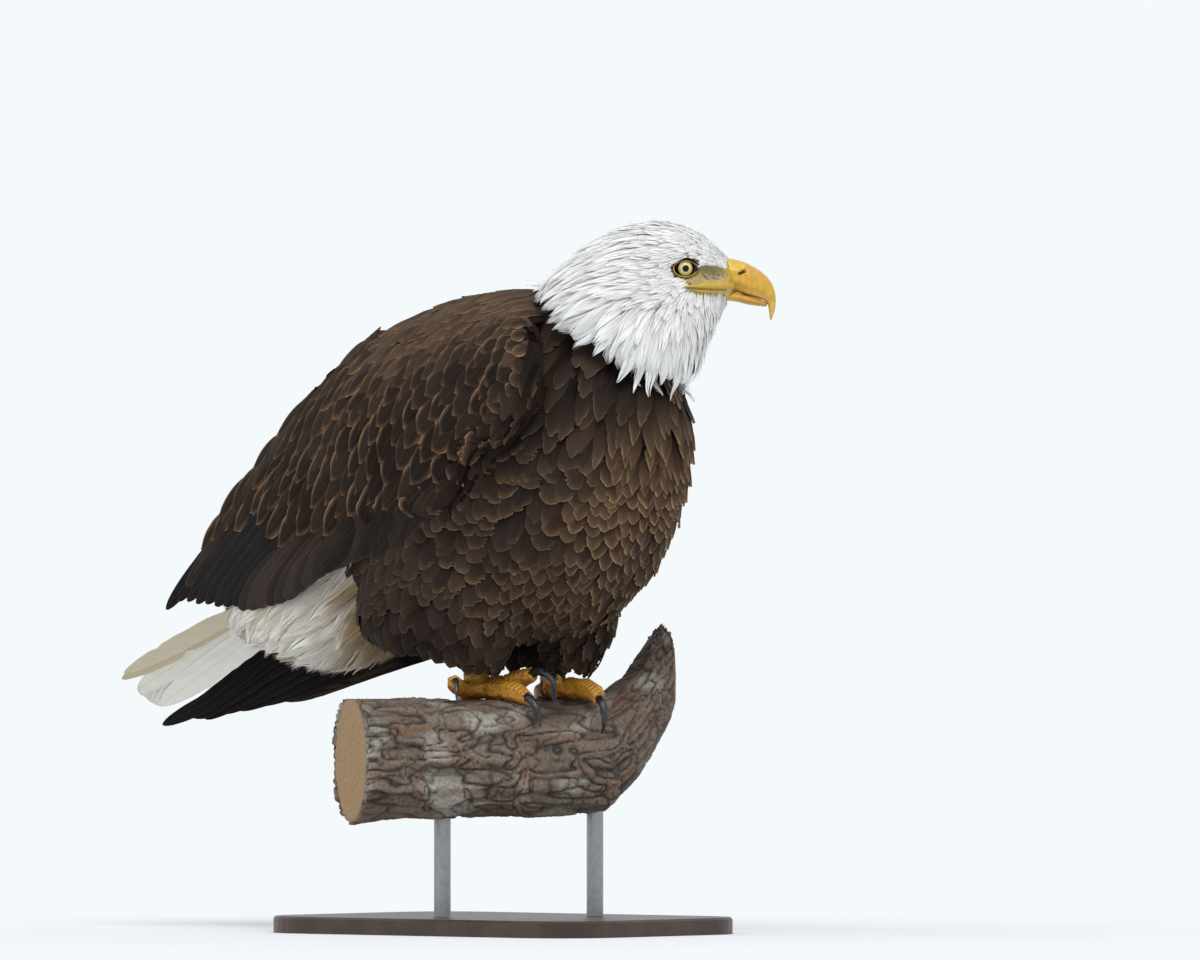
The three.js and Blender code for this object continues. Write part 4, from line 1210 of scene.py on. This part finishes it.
def eye_frame(side):
    """An eye's centre, the way it looks, and its own forward and up."""
    name = sided("eye", side)
    low, high = np.array(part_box(name)) / MM - ORIGIN
    gaze = unit(side * HEAD_LEFT + 0.16 * HEAD_AHEAD - 0.03 * UP)
    ahead = unit(HEAD_AHEAD - gaze * (HEAD_AHEAD @ gaze))
    return name, (low + high) / 2, (high - low)[2] / 2, gaze, ahead, unit(np.cross(gaze, ahead)) * side * -1


PUPIL, IRIS = 3.1, 6.6  # their radii
LIDS_OPEN = 5.8, 6.8  # above and below the eye's middle


def eye(side):
    name, centre, radius, gaze, ahead, up = eye_frame(side)
    polar = np.linspace(0.002, math.pi * 0.62, 56)[:, None]
    turn = np.linspace(0, 2 * math.pi, 56, endpoint=False)[None]
    bulge = radius + 0.5 * bell(polar / 0.5)
    out = radius * np.sin(polar) + 0 * turn
    points = centre + (bulge * np.cos(polar) + 0 * turn)[..., None] * gaze
    points = points + (out * np.cos(turn))[..., None] * ahead + (out * np.sin(turn))[..., None] * up
    fleck = 0.06 * np.sin(turn * 23 + 4 * np.sin(turn * 5)) * ramp(PUPIL, PUPIL + 1.5, out)
    iris = mix(srgb(196, 170, 110), srgb(222, 204, 152), ramp(PUPIL + 3.4, PUPIL + 0.6, out)[..., None])
    black = np.maximum(ramp(PUPIL + 0.25, PUPIL - 0.1, out), ramp(IRIS - 0.2, IRIS + 0.3, out))
    tint = mix(iris * (1 + fleck[..., None]), srgb(10, 9, 9), black[..., None])
    material = tinted(name + "_ball", 900.0, 2.0, (0.94, 1.05), 0.15, None, Specular_IOR_Level=0.15, Coat_Weight=0.2,
                      Coat_Roughness=0.02)
    show(name + "_ball", sheet(name + "_ball", points, True), material, [name], tint=tint)


def eyelids(side):
    name, centre, radius, gaze, ahead, up = eye_frame(side)
    turn = np.linspace(0, 2 * math.pi, 72, endpoint=False)
    c, s = np.cos(turn), np.sin(turn)
    corner = np.maximum(c, 0) ** 6  # the front corner is drawn out
    tall = np.where(s > 0, *LIDS_OPEN)
    inner = np.stack([c * 9.9 + corner * 2.6, np.sign(s) * np.abs(s) ** 0.85 * tall - corner * 0.5], 1)
    behind = np.stack([c * 9.4, s * (tall + 1.5)], 1)
    outer = np.stack([c * 12.4 + corner * 2.4, s * (tall + 2.9) + corner * 0.6], 1)
    rows = []
    for share, height in ((0, -0.8), (0.08, 0.4), (0.2, 0.9), (0.45, 1.2), (0.62, 1.1), (0.78, 0.9), (1.0, -2.0)):
        place = mix(inner, outer, share) if share else behind
        on_ball = np.sqrt(radius**2 - np.minimum(norm(place), 9.8) ** 2)
        height = height + (2.2 * np.maximum(-c, 0) ** 2 if share > 0.1 else 0)
        rows.append(centre + place[:, :1] * ahead + place[:, 1:] * up + (on_ball + height)[:, None] * gaze)
    yellow, olive, black, brown = srgb(196, 170, 58), srgb(126, 108, 62), srgb(14, 12, 10), srgb(74, 58, 42)
    # painted shade from the brow: the ring goes from yellow below to darker olive at its top; its outer rows are darker
    # and browner, most at the top, partly the skin's own brown and partly that painted shade
    ring = mix(yellow, olive, ramp(0.1, 0.9, s)[:, None])
    edge = mix(ring * 0.7, brown, (0.45 + 0.55 * ramp(-0.2, 0.5, s))[:, None])
    tint = np.array([black + 0 * edge] * 2 + [ring] * 3 + [edge] * 2)
    material = tinted(name + "_lids", 1400.0, 3.0, (0.85, 1.1), 0.5, (0.4, 0.0004))
    show(name + "_lids", sheet(name + "_lids", np.array(rows), True), material, tint=tint)


# ---- bill, feet, claws

NOSTRIL = {"at": (110.4, 405.2), "half": 4.2, "narrow": 1.5, "slant": 30, "deep": 2.6}


CERE_EDGE = [[376, 101], [394, 104.5], [404, 109], [412, 115.5], [420, 119]]  # height, ahead
CUTTING_EDGE = [[90, 388], [116, 385], [128, 381], [136, 372], [145, 366]]  # ahead, height


def bill():
    mesh = remeshed("bill_upper_horn", ["bill_upper"], 0.8, 8, 0.2)
    points, normals = get_points(mesh), get_normals(mesh)
    place = head_place(points)
    left = points @ HEAD_LEFT - NECK_PIVOT * HEAD_LEFT[0]
    d = place - NOSTRIL["at"]
    turn = math.radians(NOSTRIL["slant"])
    long = (d[:, 0] * math.cos(turn) + d[:, 1] * math.sin(turn)) / NOSTRIL["half"]
    wide = (d[:, 1] * math.cos(turn) - d[:, 0] * math.sin(turn)) / NOSTRIL["narrow"]
    hole = np.exp(-(long**4) - wide**4)
    cere = ramp(1.6, -1.6, place[:, 0] - lines(place[:, 1], CERE_EDGE) + ripple(points, 5, 2))
    swell = 0.5 * cere + 0.5 * bell((norm(d) - 5.5) / 2.5) * cere
    points = points + normals * (swell - hole * NOSTRIL["deep"] * (np.abs(left) > 3))[:, None]
    tip = ramp(388, 362, place[:, 1]) * ramp(128, 136, place[:, 0])
    edge = ramp(6.0, 1.5, place[:, 1] - lines(place[:, 0], CUTTING_EDGE))
    tone = 0.5 + 0.5 * ripple(points, 7, 4)[:, None]
    horn, bare = mix(srgb(204, 152, 48), srgb(214, 168, 62), tone), mix(srgb(208, 164, 42), srgb(222, 184, 62), tone)
    tint = mix(horn, bare, cere[:, None])
    tint = mix(tint, srgb(232, 198, 104), (edge * 0.4)[:, None])
    tint = mix(tint, srgb(196, 140, 52), (tip * 0.4)[:, None])
    # painted shade in the nostril's opening: dark red-brown over the dent
    tint = mix(tint, srgb(58, 22, 12), np.clip(hole * 1.3, 0, 1)[:, None])
    material = horn_material("bill_upper_horn", 240.0, 0.36)
    show("bill_upper_horn", mesh, material, ["bill_upper"], points, tint)
    mesh = remeshed("bill_lower_horn", ["bill_lower"], 0.8, 6, 0.2)
    points = get_points(mesh)
    tint = mix(srgb(196, 146, 48), srgb(214, 170, 66), ramp(377, 384, points[:, 2])[:, None])
    material = horn_material("bill_lower_horn", 240.0, 0.4)
    show("bill_lower_horn", mesh, material, ["bill_lower"], points, tint)


def lore(side):
    """The bare skin between an eye and the bill, with the gape's two lips and the dark line between them."""
    name = sided("lore", side)
    outward = side * HEAD_LEFT
    ahead, height = np.meshgrid(np.linspace(49, 103, 76), np.linspace(425, 378, 66))
    shape = ahead.shape
    ahead, height = ahead.ravel(), height.ravel()
    start = np.array([NECK_PIVOT, 0, 0]) + ahead[:, None] * HEAD_AHEAD + height[:, None] * UP + 60 * outward
    at = np.zeros_like(start)
    for i, p in enumerate(start):
        hit = form.tree.ray_cast(Vector(p), Vector(-outward))
        deep = hit[0] is None or hit[3] > 55
        at[i] = form.tree.find_nearest(Vector(p - outward * 44))[0] if deep else hit[0]
    bare = bare_skin(at)
    d = height - np.interp(ahead, GAPE[:, 0], GAPE[:, 1])
    grows = ramp(54, 61, ahead)
    wide = mix(0.7, 3.8, ramp(54, 84, ahead))
    upper = bell((d - wide) / (wide * 0.62)) * grows
    lower = bell((d + 1.7) / 1.1) * grows
    groove = bell(d / 0.75) * grows
    grain = ripple(at, 1.5, 3)
    raised = 1.3 * upper + 0.9 * lower - 1.7 * groove + 0.16 * grain + mix(-3.0, 0.4, ramp(-0.22, 0.04, bare))
    points = at + outward * (raised - 6.5 * socket(at))[:, None]
    olive = mix(srgb(116, 104, 70), srgb(172, 152, 92), ramp(413, 396, height)[:, None])
    olive = olive * (1 + 0.25 * grain[:, None])
    yellow = srgb(194, 160, 54) * (1 + 0.15 * grain[:, None])
    by_gape, by_bill = ramp(wide * 3.0, wide * 1.3, d), ramp(90, 98, ahead) * 0.8
    tint = mix(olive, yellow, (np.maximum(by_gape, by_bill) * ramp(52, 58, ahead))[:, None])
    # painted shade: the groove between the gape's two lips is painted dark
    tint = mix(tint, srgb(40, 26, 12), np.clip(groove * 1.2, 0, 1)[:, None])
    mesh = sheet(name, points.reshape(*shape, 3))
    show(name, mesh, horn_material(name, 400.0, 0.5, 0.4), tint=tint)
    # bristles on it
    kept = np.flatnonzero((bare > 0.05) & (ahead > 74) & (ahead < 99) & (d > wide * 2.2))
    kept = random.choice(kept, 420)
    count = len(kept)
    flow, normal = (np.tile(v, (count, 1)) for v in (unit(0.5 * UP - 0.75 * HEAD_AHEAD), outward))
    flow = turned(flow, normal, jitter(count, 0.5))
    length = uniform(3, 6.5, count)
    t = tip_rows(3)
    path = points[kept][:, None] + flow[:, None] * (length[:, None] * t)[..., None]
    path = path + normal[:, None] * (0.9 * t * (1 - 0.3 * t))[None, :, None]
    tint = np.where(uniform(0, 1, (count, 1)) < 0.55, srgb(214, 208, 184), srgb(74, 64, 42))
    hairs = Feathers(
        path, normal[:, None] + 0 * path, 0.17, tint, columns=HAIR, round_to=1.0, pinch=0.8, widest=0.2, foot=0.8,
        painted_root_shade=0.9)
    material = feather_material(name + "_bristle", srgb(220, 216, 200), 0.3, streaks=True)
    feather_piece(name + "_bristles", [hairs], material)


FOOT_HUB = {RIGHT: (-42, -26), LEFT: (1, 35)}
TOES = ("hallux", "inner", "middle", "outer")
SCUTE = 5.2  # the length of a toe's scute


def foot(side):
    node = sided("foot", side)
    mesh = remeshed(node + "_skin", [node], 0.95, 4, 0.15)
    points, normals = get_points(mesh), get_normals(mesh)
    hub = np.array([*FOOT_HUB[side], 16.0])
    best, along = np.full(len(points), 1e9), np.zeros(len(points))
    for toe in TOES:
        claw, _ = node_shape(f"{sided('claw', side)}_{toe}")
        end = claw[np.argsort(norm(claw - hub))[:6]].mean(0)
        span = end - hub
        reach = np.linalg.norm(span)
        t = np.clip((points - hub) @ span / reach**2, 0, 1)
        away = norm(points - hub - t[:, None] * span)
        closer = away < best
        best[closer], along[closer] = away[closer], (t * reach)[closer]
    wave = (along / SCUTE + 0.1 * ripple(points, 6, 7)) % 1
    top = ramp(-0.05, 0.4, normals[:, 2]) * ramp(10, 20, along)
    plate = top * (1 - np.abs(2 * wave - 1) ** 2.5)
    grain = ripple(points, 1.7, 1)
    pad = ramp(-0.2, -0.7, normals[:, 2]) * (0.5 + 0.5 * np.cos(along / 15 * 2 * math.pi))
    points = points + normals * (1.35 * plate - 0.3 + 0.35 * grain * (1 - top) + 1.0 * pad)[:, None]
    tone = 0.5 + 0.5 * ripple(points, 9, 6)[:, None]
    tint = mix(srgb(200, 140, 38), srgb(216, 164, 60), tone)
    under = ramp(0.15, -0.5, normals[:, 2])[:, None]
    tint = mix(tint, srgb(196, 112, 40), under * 0.7)
    # painted shade in the creases between the raised scutes
    crease = top * ramp(0.3, 0.0, np.minimum(wave, 1 - wave))
    tint = mix(tint, srgb(92, 56, 22), crease[:, None] * 0.75)
    # painted shade in the dips that the grain presses into the toes' sides and soles
    dip_shade = ramp(0.05, 0.4, -grain) * (1 - top)
    tint = mix(tint, srgb(96, 62, 26), dip_shade[:, None] * 0.65)
    material = tinted(node + "_skin", 1500.0, 3.0, (0.85, 1.12), 0.5, (0.35, 0.0005))
    show(node + "_skin", mesh, material, [node], points, tint)


def claws(side):
    name = sided("claw", side)
    n = Nodes(name + "_horn")
    streak = n.noise(None, 300.0, 3.0)
    colour = n.mix(n.step(streak, 0.35, 0.7), srgb(24, 24, 26), srgb(50, 48, 50))
    material = n.finish(colour, n.step(streak, 0.3, 0.7, 0.22, 0.42), n.bump(streak, 0.2, 0.0004))
    for toe in TOES:
        node = f"{name}_{toe}"
        mesh = modified(node + "_horn", rough_mesh(*joined_shapes([node], 0.3)), SUBSURF={"levels": 2})
        show(node + "_horn", mesh, material, [node], get_points(mesh))


skin()
white_coat()
brown_coat()
mantle()
vent_coat()
for side in (RIGHT, LEFT):
    wing(side)
    eye(side)
    eyelids(side)
    lore(side)
tail()
bill()
for side in (RIGHT, LEFT):
    foot(side)
    claws(side)

# ---- perch and stand


PERCH_AXIS = np.array([math.cos(math.radians(55)), math.sin(math.radians(55)), 0])
PERCH_CREST = np.array([-14.0, 0, -56])  # the middle of its section, under the feet
PERCH_ENDS = (-166, 150)


def perch():
    mesh = remeshed("bark", ["perch"], 1.7, 2, 0.0)
    points, normals = get_points(mesh), get_normals(mesh)
    d = points - PERCH_CREST
    along = d @ PERCH_AXIS
    off = d - along[:, None] * PERCH_AXIS
    bend = np.stack([0 * along, 0 * along, 80 * np.clip((along - 72) / 78, 0, 1) ** 1.5], 1)
    off = off - bend
    wood = ramp(2.5, 0.5, np.minimum(along - PERCH_ENDS[0], PERCH_ENDS[1] - along))
    wood *= ramp(0.5, 0.85, np.abs(normals @ PERCH_AXIS))
    round_off = norm(off)
    wood *= ramp(61, 57, round_off)
    wander = ripple(points, 26, 1)
    q = np.stack([along / 34 + 0.9 * wander, off[:, 1] / 9 + 0.5 * wander, off[:, 2] / 9], 1)
    crack = np.clip(1 - np.abs(ripple(q, 1.0, 2)) * 5, 0, 1) ** 1.5
    cross = np.clip(1 - np.abs(ripple(q * (2.2, 0.6, 0.6), 1.0, 5)) * 7, 0, 1) ** 1.5 * 0.7
    plate = ripple(q * 0.8, 1.0, 9)
    fine = ripple(points, 2.6, 4)
    deep = np.maximum(crack, cross)
    raised = (1.3 * plate - 4.2 * deep + 0.7 * fine - 0.6) * (1 - wood) - 1.2 * wood
    gripped = ramp(-26, -8, points[:, 2]) * ramp(95, 72, np.abs(along))
    raised = mix(raised, 1.0 + 0.5 * fine - 1.2 * deep, gripped)
    grey = ramp(0.05, 0.45, ripple(points, 38, 6))[:, None]
    red = ramp(0.2, 0.5, ripple(q * 0.9, 1.0, 12))[:, None]
    tint = mix(srgb(112, 98, 86), srgb(150, 144, 134), grey)
    tint = mix(tint, srgb(120, 84, 62), red * 0.6) * (1 + 0.35 * fine + 0.3 * plate)[:, None]
    # the cracks darkened: partly the bark's own darker inside, partly painted shade in them
    tint = mix(tint, srgb(44, 36, 30), np.clip(deep * 1.15, 0, 1)[:, None] * 0.85)
    rings = 0.5 + 0.5 * np.sin((round_off + 3 * wander) * 1.9)
    face = mix(srgb(170, 140, 102), srgb(132, 100, 68), (rings * 0.6 + 0.15 * fine)[:, None])
    tint = mix(tint, face, wood[:, None])
    material = tinted("bark_wood", 420.0, 4.0, (0.7, 1.25), 0.9, (0.7, 0.0012), (0.25, 0.75), roughness=0.65)
    show("bark", mesh, material, ["perch"], points + normals * raised[:, None], tint)


perch()
base_wood = plain_material("base_wood", srgb(66, 46, 34), srgb(48, 33, 25), 30, 0.4)
frame["nodes"]["stand_base"].data.materials[0] = base_wood
for side_name in ("right", "left"):
    steel = plain_material(f"rod_steel_{side_name}", srgb(150, 150, 152), srgb(140, 140, 143), 200, 0.3, 1.0)
    frame["nodes"][f"stand_rod_{side_name}"].data.materials[0] = steel

# ---- floor, light, camera

SKY = srgb(244, 249, 252)


def floor():
    reach = 4.0
    mesh = rough_mesh([(-reach, -reach, 0), (reach, -reach, 0), (reach, reach, 0), (-reach, reach, 0)], [(0, 1, 2, 3)])
    n = Nodes("floor")
    fade = n.step(n.add("VectorMath", n.where(), operation="LENGTH").outputs["Value"], 0.35, 1.1)
    blend = n.add("MixShader", fade, n.add("BsdfDiffuse", (0.86, 0.88, 0.9)), n.add("Emission", SKY))
    mesh.materials.append(n.ended(blend))
    linked("floor", mesh)


floor()


def world():
    """Soft light on the model, and a pale sky where it is seen, mirrored or seen through something."""
    made = bpy.data.worlds.new("studio")
    bpy.context.scene.world = made
    n = Nodes(made, "OutputWorld")
    path = n.add("LightPath").outputs
    seen = n.math("MAXIMUM", path["Is Camera Ray"], path["Is Glossy Ray"])
    seen = n.math("MAXIMUM", seen, path["Is Transmission Ray"])
    n.ended(n.add("MixShader", seen, n.add("Background", (0.93, 0.96, 1.0), 0.54), n.add("Background", SKY)))


world()


def lamp(name, towards, strength, angle):
    """A soft, far lamp that shines from the side that towards gives."""
    light = bpy.data.lights.new(name, "SUN")
    light.energy = strength
    light.angle = math.radians(angle)
    linked(name, light).rotation_euler = Vector(towards).to_track_quat("Z", "Y").to_euler()


lamp("key", (0.9, -0.7, 1.5), 1.8, 35)
lamp("fill", (-0.6, -1.0, 0.9), 0.5, 60)

VIEW = {"azimuth": 40, "distance": 18.0, "width": 1.14, "aim": (0.08494, 0.04275, 0.431)}


def camera():
    made = bpy.data.cameras.new("camera")
    made.sensor_width = 36
    made.lens = made.sensor_width * VIEW["distance"] / VIEW["width"]
    made.clip_end = 60
    piece = linked("camera", made)
    turn = math.radians(VIEW["azimuth"])
    back = Vector((math.sin(turn), -math.cos(turn), 0))
    piece.location = Vector(VIEW["aim"]) + back * VIEW["distance"]
    piece.rotation_euler = back.to_track_quat("Z", "Y").to_euler()
    bpy.context.scene.camera = piece


camera()
bpy.context.scene.view_settings.view_transform = "Standard"

bpy.data.meshes.remove(form_mesh)
